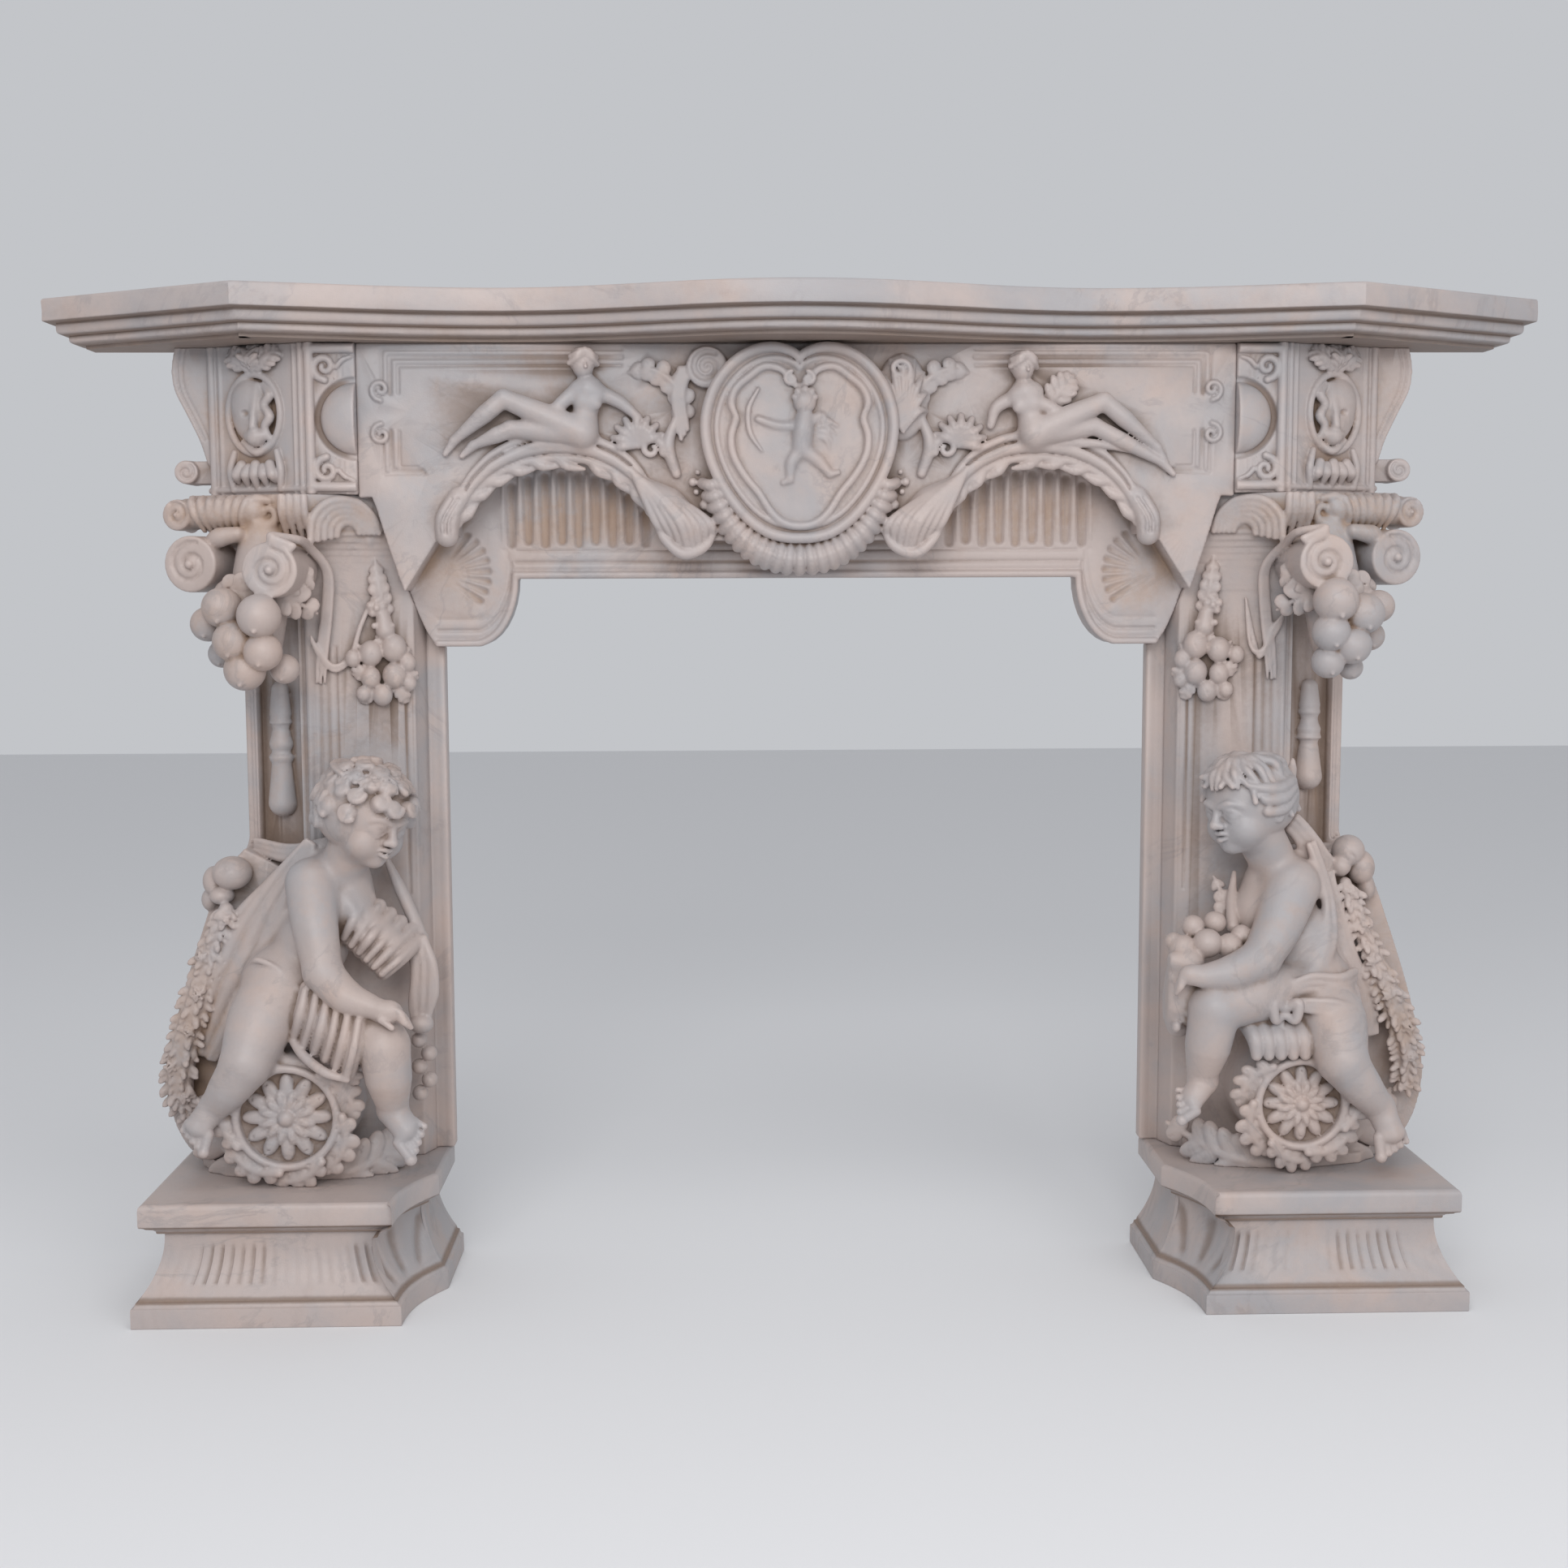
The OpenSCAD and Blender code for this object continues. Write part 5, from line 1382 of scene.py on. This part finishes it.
def reclining(block, head, shoulder, elbow, hand, hip, knee, foot_at, knee2, foot2, far_elbow, far_hand):
    """A figure that lies along the arch in low relief. Points are (x, z)."""
    y = -PANEL

    def at(p, lift):
        return (p[0], y - lift, p[1])

    middle = lerp(vec(*shoulder), vec(*hip), 0.55)
    across = unit(vec(hip[1] - shoulder[1], shoulder[0] - hip[0]))
    run(block, [at(shoulder, 9), at(middle, 8), at(hip, 10)], [18, 15, 20], 8.0)
    for s in (-1, 1):
        block.egg(at(vec(*shoulder) + across * s * 11 + vec(0, -3), 12), (11, 10, 11), 6.0)
        block.egg(at(vec(*shoulder) + across * s * 8 + vec(0, -15), 18), (9, 7, 8), 5.0)
    run(block, [at(hip, 13), at(lerp(vec(*hip), vec(*knee), 0.5), 15), at(knee, 13)], [17, 15, 11], 4.0)
    run(block, [at(knee, 13), at(lerp(vec(*knee), vec(*foot_at), 0.38), 13), at(foot_at, 7)],
        [11, 11, 5.5], 3.0)
    run(block, [at(hip, 10), at(lerp(vec(*hip), vec(*knee2), 0.5), 11), at(knee2, 9)], [16, 14.5, 10.5],
        4.0)
    run(block, [at(knee2, 9), at(lerp(vec(*knee2), vec(*foot2), 0.38), 10), at(foot2, 6)],
        [10.5, 10, 5], 3.0)
    for end, start in ((foot_at, knee), (foot2, knee2)):
        ahead = unit(vec(*end) - vec(*start))
        block.bar(at(vec(*end) - ahead * 2, 6), at(vec(*end) + ahead * 14 + vec(0, -7), 5), 6.2, 3.6, 2.0)
    run(block, [at(vec(*shoulder) + across * 12, 12), at(elbow, 15), at(hand, 12)], [9.5, 8, 5], 4.0)
    run(block, [at(vec(*shoulder) - across * 12, 8), at(far_elbow, 8), at(far_hand, 7)], [9.5, 8, 5], 4.0)
    block.ball(at(hand, 12), 6, 1.5)
    block.bar(at(shoulder, 9), at(head, 9), 9, 8.5, 4.0)
    face = Seat(at(head, 11), (0.25, -1, -0.1))
    block.egg(face.at(0, -2, 2), (13, 15, 16), 1.5, face.turn)
    block.egg(face.at(0, 4, -2), (17, 16, 16), 1.0, face.turn)
    for k in range(7):
        a = math.radians(-10 + 33 * k)
        run(block, [face.at(0, 12, 13), face.at(9 * math.cos(a), 8 + 8 * math.sin(a), 13),
                    face.at(17 * math.cos(a), 2 + 14 * math.sin(a), 4)], [3, 4.2, 3.6], 0.8, steps=3)
    block.bar(face.at(0, 1, 16), face.at(0, -4, 19), 1.8, 2.4, 1.0)
    for s in (-1, 1):
        block.egg(face.at(s * 5.5, 0, 17), (3.6, 2.6, 2.4), 1.5, face.turn, cut=True)
    block.groove(face.at(-4, -10, 16.5), face.at(4, -10, 16.5), 1.4, 0.8)


RUST_SPOTS = ((280, 960, 110, 46, 0.9), (430, 880, 60, 60, 0.7), (300, 1050, 90, 22, 0.5),
              (150, 920, 40, 50, 0.35), (60, 900, 90, 26, 0.4))
LINTEL_RUST = [((s * x, -52, z), (rx, 60, rz), k) for s in (-1, 1) for x, z, rx, rz, k in RUST_SPOTS]


def lintel_stone():
    """The frieze stone: its two like halves, then what differs from side to side."""
    block = Block((-546, -160, 790), (546, 6, 1182), 2.0)
    lintel_half(block)
    n = block.count[0]
    block.field[: n // 2] = block.field[::-1][: n // 2]
    # reclining figures
    reclining(block, (-262, 1142), (-256, 1110), (-294, 1088), (-306, 1070), (-264, 1060), (-358, 1100),
              (-420, 1050), (-350, 1064), (-398, 1044), (-218, 1096), (-196, 1078))
    reclining(block, (272, 1138), (276, 1106), (312, 1084), (300, 1060), (288, 1058), (372, 1096),
              (440, 1040), (362, 1066), (448, 1022), (244, 1092), (234, 1068))
    for x, s in ((-250, -1), (300, 1)):
        for k in range(3):
            run(block, [(x + s * 10 * k, -PANEL - 6, 1050), (x + s * (26 + 18 * k), -PANEL - 9, 1046),
                        (x + s * (60 + 24 * k), -PANEL - 5, 1044 - 4 * k)], [4, 5, 2.5], 1.4)
    leaf(block, FRONT, [(302, 1084, PANEL + 2), (318, 1108, PANEL + 8), (336, 1128, PANEL + 2)], 18, 5, 3.4)
    # winged child in the shield, in low relief
    y = -126
    for points, radii in (([(6, y, 1076), (4, y - 2, 1060), (2, y, 1040)], [11, 13, 12]),
                          ([(0, y, 1066), (-26, y, 1066), (-50, y, 1074)], [7, 6, 4.6]),
                          ([(10, y, 1068), (26, y, 1078), (34, y, 1060)], [6.5, 5.5, 4.4]),
                          ([(2, y, 1038), (-10, y - 1, 1022), (-12, y, 1002)], [9.5, 8, 5]),
                          ([(6, y, 1036), (22, y - 1, 1024), (36, y, 1008)], [9.5, 8, 5]),
                          ([(-12, y, 1002), (-20, y, 998)], [5, 3.8]),
                          ([(36, y, 1008), (46, y, 1010)], [5, 3.8])):
        run(block, points, radii, 2.5, steps=4)
    block.egg((6, y - 4, 1095), (14, 10, 15), 2.0)
    for k in range(8):
        a = math.radians(45 * k)
        block.ball((6 + 12 * math.cos(a), y - 6, 1100 + 10 * math.sin(a)), 4.4, 0.9)
    for k in range(4):
        run(block, [(14, y + 1, 1066 - 5 * k), (30, y - 1, 1072 - 7 * k),
                    (46 - 3 * k, y + 1, 1066 - 10 * k)], [3.2, 4.4, 2.4], 1.0, steps=4)
    run(block, [(-50, y, 1110), (-62, y, 1086), (-60, y, 1058), (-46, y, 1036)], [2.2, 3.4, 3.4, 2.2], 0.9)
    # rolled leaf at the shield's upper left, shell at its upper right
    roll = Seat((-112, -PANEL - 4, 1138))
    drum(block, roll.at(0, 0, -20), roll.at(0, 0, 8), 25, 2.5)
    block.tube(coil(roll, (0, 0), 19, 1.8, 60, 1, 0.15, 8), 3.4, 0.8, cut=True)
    for k in range(3):
        run(block, [(-134 - 5 * k, -PANEL - 5, 1136), (-142 - 5 * k, -PANEL - 7, 1104),
                    (-136 - 4 * k, -PANEL - 5, 1064 - 6 * k)], [4.6, 5.4, 3.0], 1.2)
    shell = Seat((126, -PANEL - 2, 1084))
    block.egg(shell.at(0, 18, 0), (32, 16, 52), 2.0)
    for k in range(9):
        a = math.radians(-20 + 27.5 * k)
        run(block, [shell.at(0, -24, 14), shell.at(20 * math.cos(a), 10 + 30 * math.sin(a), 16),
                    shell.at(31 * math.cos(a), 18 + 50 * math.sin(a), 3)], [2.6, 4.6, 3.2], 0.9,
            steps=4)
    block.tube(coil(shell, (-4, 50), 14, 1.5, 300, 1, 0.2, 16), [4, 3.4, 2.6], 1.0)
    block.keep_inside((-JOINT_X, -147.5, BRACKET_Z), (JOINT_X, 0, SHELF_Z))
    return stone_from_block("lintel_stone", block, LINTEL_MOST, (0, 0, 0), False, LINTEL_RUST)


# ---------- the corner blocks ----------

FRONT_Y, SIDE_Y, ARRIS_X, SIDE_X = -112.0, -56.0, 600.0, 728.0
BLOCK_RUST = [((700, -70, 1080), (90, 80, 90), 0.5), ((745, -30, 1100), (40, 60, 90), 0.6)]


def corner_stone(name, mirrored):
    """The block over a jamb: boss at the front, lion mask on the canted face, ear at the side."""
    block = Block((530, -134, BLOCK_Z - 6), (800, 5, SHELF_Z + 6), 1.5)
    low, high = BLOCK_Z, SHELF_Z
    middle = (low + high) / 2
    plan = [(JOINT_X, 8), (JOINT_X, FRONT_Y + 8), (ARRIS_X, FRONT_Y + 8), (SIDE_X, SIDE_Y + 6), (SIDE_X, 8)]
    block.column(plan, low - 8, high + 8, 0.5)
    # raised borders of the front panel
    block.tube([(ARRIS_X - 7, FRONT_Y + 6, low), (ARRIS_X - 7, FRONT_Y + 6, high)], 6.0, 1.0)
    for z in (low + 9, high - 7):
        block.tube([(JOINT_X - 6, FRONT_Y + 6, z), (ARRIS_X - 6, FRONT_Y + 6, z)], 6.0, 1.0)
    front = Seat((JOINT_X, FRONT_Y + 8, middle))
    block.ring_groove((JOINT_X, middle), 45, 5.0, -FRONT_Y - 8, -FRONT_Y - 3, 75, 1.2)
    block.egg(front.at(0, 0, -4), (43, 18, 43), 1.0, front.turn)
    for u in (16, 22, 48):
        for a, b in ((low + 18, middle - 50), (middle + 50, high - 16)):
            block.groove((JOINT_X + u, FRONT_Y + 8, a), (JOINT_X + u, FRONT_Y + 8, b), 1.2, 0.6)
    for s in (-1, 1):
        block.tube(coil(front, (36, s * 62), 16, 1.3, -90 * s, s, 0.2, 2),
                   taper([4.6, 4.0, 3.0], 17)[:-1], 1.0)
        line(block, front, [(22, s * 62, 1), (14, s * 70, 2), (4, s * 74, 1)], [3.4, 3.2, 2.2], 1.0)
    # canted face
    a, b = vec(ARRIS_X, FRONT_Y + 8), vec(SIDE_X, SIDE_Y + 6)
    across = unit(b - a)
    out = vec(across[1], -across[0], 0)
    centre = (a + b) / 2
    face = Seat((*centre, middle), out)
    half = np.linalg.norm(b - a) / 2
    for u, r in ((-half + 4, 4.0), (-half + 14, 2.4), (half - 5, 5.0), (half - 17, 2.4)):
        block.tube([face.at(u, -96, 0), face.at(u, 96, 0)], r, 1.2)
    block.tube([face.at(-half, -84, 0), face.at(half, -84, 0)], 4.0, 1.2)
    oval = [face.at(2 + 38 * math.cos(t), 8 + 48 * math.sin(t), 1) for t in np.linspace(0, 2 * math.pi, 33)]
    block.egg(face.at(2, 8, -1), (37, 8, 47), 1.0, face.turn, cut=True)
    block.tube(oval, 4.6, 1.4)
    # worn lion mask: one broad cheek, a wavy mane at one side and a low muzzle
    block.egg(face.at(8, 12, -3), (28, 15, 39), 2.0, face.turn)
    block.egg(face.at(12, 22, 2), (20, 12, 26), 6.0, face.turn)
    block.ball(face.at(-3, -20, 5), 12.5, 3.0)
    line(block, face, [(-12, 42, -1), (-22, 30, 3), (-15, 18, 5), (-23, 4, 5), (-16, -8, 6),
                       (-21, -22, 4)], [5, 6, 5, 6, 5, 4], 1.8)
    line(block, face, [(-4, 42, 2), (-4, 16, 9), (-4, -8, 13)], [4, 5, 5], 4.0)
    for s in (-1, 1):
        block.egg(face.at(-3 + s * 11, 8, 13), (5.0, 4, 3.6), 3.0, face.turn, cut=True)
        block.egg(face.at(-3 + s * 9, -19, 6), (8, 7, 7), 2.5, face.turn)
    line(block, face, [(-24, -26, 1), (-4, -39, 6), (18, -26, 2)], [4, 5, 4], 1.5)
    # leaves above and below
    for s, lift in ((-1, 0), (1, 0), (0, 5)):
        leaf(block, face, [(s * 8, 62, 4), (s * 22, 74, 9 + lift), (s * 34, 84 if s else 90, 2)], 14, 4,
             4.0)
    for k in range(5):
        u = -26 + 13 * k
        line(block, face, [(u * 0.8, -54 - 4 * (k % 2), 4), (u, -66, 7),
                           (u * 1.05, -82 + 4 * abs(k - 2), 2)], [6.5, 7.0, 3.2], 1.2)
    line(block, face, [(-30, -38, 2), (-36, -60, 4), (-34, -84, 2)], [4, 5, 4], 1.4)
    line(block, face, [(32, -38, 2), (37, -60, 4), (35, -84, 2)], [4, 5, 4], 1.4)
    # the ear: a long bracket with a small scroll at its foot
    ear = [(-3, 30), (5, 42), (14, 70), (30, 104), (42, 130), (45, 156), (40, 184), (-3, 184)]
    curve = smooth_path(ear[1:-1], 4)
    outline = [(SIDE_X + x, low + z) for x, z in curve]
    outline = [(SIDE_X - 4, low + 30)] + outline + [(SIDE_X - 4, low + 190)]
    block.slab(outline, 50, 8, 2.0)
    for inset in (7, 13):
        run(block, [(SIDE_X + x - inset, -50, low + z) for x, z in ear[2:-1]], 1.6, 0.8, True, 3)
    drum(block, (SIDE_X + 30, -56, low + 30), (SIDE_X + 30, -8, low + 30), 14.5, 2.0)
    knob = Seat((SIDE_X + 30, -56, low + 30))
    block.tube(coil(knob, (0, 0), 11, 1.2, 120, 1, 0.2, 0), 1.8, 0.8, cut=True)
    block.slab([(SIDE_X - 4, low + 16), (SIDE_X + 30, low + 16), (SIDE_X + 30, low + 44),
                (SIDE_X - 4, low + 44)], 44, 8, 2.0)
    block.keep_inside((JOINT_X, -125, low), (774, 0, high))
    return stone_from_block(name, block, BLOCK_MOST, (0, 0, 0), mirrored, BLOCK_RUST)


# ---------- marble ----------


class Wire:
    """A value in a material's nodes that can be used in sums and products."""

    def __init__(self, shop, socket):
        self.shop = shop
        self.socket = socket

    def math(self, operation, other, swap=False):
        pair = [other, self] if swap else [self, other]
        return self.shop.node("Math", {"operation": operation}, pair)

    def __add__(self, other):
        return self.math("ADD", other)

    def __mul__(self, other):
        return self.math("MULTIPLY", other)

    def __sub__(self, other):
        return self.math("SUBTRACT", other)

    def __rsub__(self, other):
        return self.math("SUBTRACT", other, swap=True)

    __radd__ = __add__
    __rmul__ = __mul__


class Shop:
    """Makes the nodes of one material."""

    def __init__(self, name):
        self.material = bpy.data.materials.new(name)
        self.material.use_nodes = True
        self.tree = self.material.node_tree
        self.shader = self.tree.nodes["Principled BSDF"]

    def connect(self, socket, value):
        if isinstance(value, Wire):
            self.tree.links.new(value.socket, socket)
        elif isinstance(value, tuple) and len(value) == 3 and socket.type == "RGBA":
            socket.default_value = (*value, 1)
        else:
            socket.default_value = value

    def node(self, kind, settings=None, inputs=None, out=0):
        """A node of a type, its settings first, then its inputs by place or by name."""
        made = self.tree.nodes.new("ShaderNode" + kind)
        for key, value in (settings or {}).items():
            setattr(made, key, value)
        pairs = enumerate(inputs) if isinstance(inputs, (list, tuple)) else (inputs or {}).items()
        for key, value in pairs:
            self.connect(made.inputs[key], value)
        return Wire(self, made.outputs[out])

    def noise(self, where, scale, detail, rough, twist=0.0):
        return self.node("TexNoise", {}, {"Vector": where, "Scale": scale, "Detail": detail,
                                          "Roughness": rough, "Distortion": twist})

    def ramp(self, value, low, high):
        """0 below low, 1 above high, smooth between."""
        return self.node("MapRange", {"interpolation_type": "SMOOTHSTEP"},
                         {"Value": value, "From Min": low, "From Max": high})

    def blend(self, mask, a, b):
        """Colour a where the mask is 0, colour b where it is 1; 6, 7 and 2 are this node's colours."""
        return self.node("Mix", {"data_type": "RGBA"}, {0: mask, 6: a, 7: b}, out=2)

    def attribute(self, name):
        return self.node("Attribute", {"attribute_name": name}, {}, out=2)


BODY = (0.445, 0.372, 0.347)
GREY = (0.345, 0.328, 0.335)
# dark brown for grime in the hollows and for painted shade there; also the random brown wash
GRIME_AND_SHADE = (0.165, 0.112, 0.082)
RUST = (0.36, 0.235, 0.155)


def shaded(colour, k):
    """The same colour, darker or lighter by the factor k."""
    return tuple(min(1, c * k) for c in colour)


def marble(name, body, dirt_and_shade, shift):
    """Pale marble: warm and cool clouds, thin veins, brown dirt and painted shade in the hollows, paler
    rubbed edges.
    """
    shop = Shop(name)
    where = shop.node("TexCoord", {}, {}, out=3)
    where = shop.node("VectorMath", {"operation": "ADD"}, [where, (shift, shift * 0.7, shift * 0.3)])
    recess = shop.attribute("recess")
    edge = shop.attribute("edge")
    rust = shop.attribute("rust")
    clouds = shop.noise(where, 4.5, 5, 0.6, 0.6)
    patches = shop.noise(where, 11.0, 6, 0.62, 0.3)
    streaks = shop.noise(shop.node("Mapping", {}, {"Vector": where, "Scale": (1.0, 1.0, 0.22)}), 16.0,
                         5, 0.6, 0.5)
    fine = shop.noise(where, 140.0, 4, 0.6)
    grains = shop.noise(where, 620.0, 2, 0.5)
    vein_noise = shop.noise(where, 3.2, 8, 0.62, 1.6)
    vein = 1 - shop.ramp(shop.node("Math", {"operation": "ABSOLUTE"}, [vein_noise - 0.5]), 0.0, 0.022)
    colour = shop.blend(shop.ramp(clouds, 0.36, 0.66), body, GREY)
    warm = tuple(c * k for c, k in zip(body, (1.06, 0.98, 0.92)))
    colour = shop.blend(shop.ramp(patches, 0.48, 0.70) * 0.55, colour, warm)
    colour = shop.blend(vein * shop.ramp(patches, 0.35, 0.6) * 0.30, colour, shaded(GREY, 0.62))
    colour = shop.blend(shop.ramp(streaks, 0.56, 0.74) * 0.35, colour, shaded(body, 0.80))
    # hollows turn dark brown: partly grime, partly painted shade
    dirt_and_shade_mask = shop.ramp(recess + (patches - 0.5) * 0.6 + (fine - 0.5) * 0.25, 0.06, 0.85) * dirt_and_shade
    colour = shop.blend(dirt_and_shade_mask * 0.85, colour, GRIME_AND_SHADE)
    blotches = 0.55 + (patches - 0.5) * 1.6 + (fine - 0.5) * 0.7 + recess * 0.8
    colour = shop.blend(shop.ramp(rust * blotches, 0.12, 0.95) * 0.62, colour, RUST)
    wash = shop.ramp(patches + (clouds - 0.5) * 0.8, 0.60, 0.82) * 0.22 * dirt_and_shade
    colour = shop.blend(wash, colour, tuple(lerp(a, b, 0.55) for a, b in zip(body, GRIME_AND_SHADE)))
    colour = shop.blend(shop.ramp(edge + (fine - 0.5) * 0.3, 0.25, 0.95) * 0.42, colour, shaded(body, 1.22))
    colour = shop.blend(shop.ramp(fine, 0.35, 0.7) * 0.10, colour, shaded(body, 0.78))
    shop.connect(shop.shader.inputs["Base Color"], colour)
    rough = 0.46 + (patches - 0.5) * 0.22 + recess * 0.22 - edge * 0.10
    shop.connect(shop.shader.inputs["Roughness"], rough)
    height = (fine - 0.5) * 0.6 + (grains - 0.5) * 0.35 + (patches - 0.5) * 1.2
    bump = shop.node("Bump", {}, {"Strength": 0.35, "Distance": 0.0012, "Height": height})
    shop.connect(shop.shader.inputs["Normal"], bump)
    shop.shader.inputs["Specular IOR Level"].default_value = 0.45
    return shop.material


marbles = {name: marble(name, body, dirt_and_shade, shift) for name, body, dirt_and_shade, shift in (
    ("marble_shelf", BODY, 0.8, 0.0),
    ("marble_frieze", BODY, 1.0, 3.1),
    ("marble_jamb", tuple(c * k for c, k in zip(BODY, (0.99, 0.965, 0.945))), 1.1, 5.7),
    ("marble_plinth", BODY, 0.9, 8.3))}


def finish_stone(piece, node, slot_name):
    piece.data.materials.append(marbles[slot_name])
    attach(piece, "root")
    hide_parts(node)


# ---------- the stones ----------

finish_stone(make_shelf(), "shelf", "marble_shelf")
finish_stone(make_plinth("plinth_stone_left", True), "plinth_left", "marble_plinth")
finish_stone(make_plinth("plinth_stone_right", False), "plinth_right", "marble_plinth")
finish_stone(finish_jamb("jamb_stone_left", jamb_left_stone(), True), "jamb_left", "marble_jamb")
finish_stone(finish_jamb("jamb_stone_right", jamb_right_stone(), False), "jamb_right", "marble_jamb")
finish_stone(lintel_stone(), "lintel", "marble_frieze")
finish_stone(corner_stone("corner_stone_left", True), "corner_block_left", "marble_frieze")
finish_stone(corner_stone("corner_stone_right", False), "corner_block_right", "marble_frieze")

# ---------- floor, light and camera ----------


def plain(name, colour, roughness):
    material = bpy.data.materials.new(name)
    material.use_nodes = True
    shader = material.node_tree.nodes["Principled BSDF"]
    shader.inputs["Base Color"].default_value = (*colour, 1)
    shader.inputs["Roughness"].default_value = roughness
    return material


def make_floor():
    bpy.ops.mesh.primitive_plane_add(size=16, location=(0, 0, 0))
    floor = bpy.context.object
    floor.name = "studio_floor"
    floor.data.materials.append(plain("studio_floor", (0.74, 0.74, 0.75), 0.8))


def lamp(name, at, aim, size, power):
    data = bpy.data.lights.new(name, "AREA")
    data.shape = "RECTANGLE"
    data.size, data.size_y = size
    data.energy = power
    made = bpy.data.objects.new(name, data)
    made.location = at
    made.rotation_euler = (Vector(aim) - Vector(at)).to_track_quat("-Z", "Y").to_euler()
    bpy.context.scene.collection.objects.link(made)


CAMERA_AT = (-0.086, -2.498 + WALL_Y * MM, 0.872)
CAMERA_TURN = (5.81, 1.58, -0.20)  # down, to the right and roll, in degrees
CAMERA_LENS, CAMERA_WIDTH = 44.44, 36


def make_camera():
    pitch, yaw, roll = (math.radians(a) for a in CAMERA_TURN)
    ahead = Vector((math.sin(yaw) * math.cos(pitch), math.cos(yaw) * math.cos(pitch), -math.sin(pitch)))
    right = Vector((math.cos(yaw), -math.sin(yaw), 0))
    up = right.cross(ahead)
    side = math.cos(roll) * right + math.sin(roll) * up
    top = math.cos(roll) * up - math.sin(roll) * right
    data = bpy.data.cameras.new("camera")
    data.lens = CAMERA_LENS
    data.sensor_width = CAMERA_WIDTH
    made = bpy.data.objects.new("camera", data)
    place = Matrix((side, top, -ahead)).transposed().to_4x4()
    place.translation = Vector(CAMERA_AT)
    made.matrix_world = place
    bpy.context.scene.collection.objects.link(made)
    bpy.context.scene.camera = made


make_floor()
lamp("key", (-0.5, -3.5, 2.3), (0, 0, 0.75), (2.0, 1.4), 62)
lamp("fill", (1.8, -3.0, 1.5), (0, 0, 0.6), (2.0, 1.6), 26)
lamp("top", (0.0, -1.4, 3.4), (0, 0, 0.5), (2.6, 1.4), 18)
world = bpy.data.worlds.new("studio")
world.use_nodes = True
sky = world.node_tree.nodes["Background"]
sky.inputs["Color"].default_value = (0.88, 0.90, 0.94, 1)
sky.inputs["Strength"].default_value = 0.62
bpy.context.scene.world = world
make_camera()
bpy.context.scene.view_settings.view_transform = "Standard"
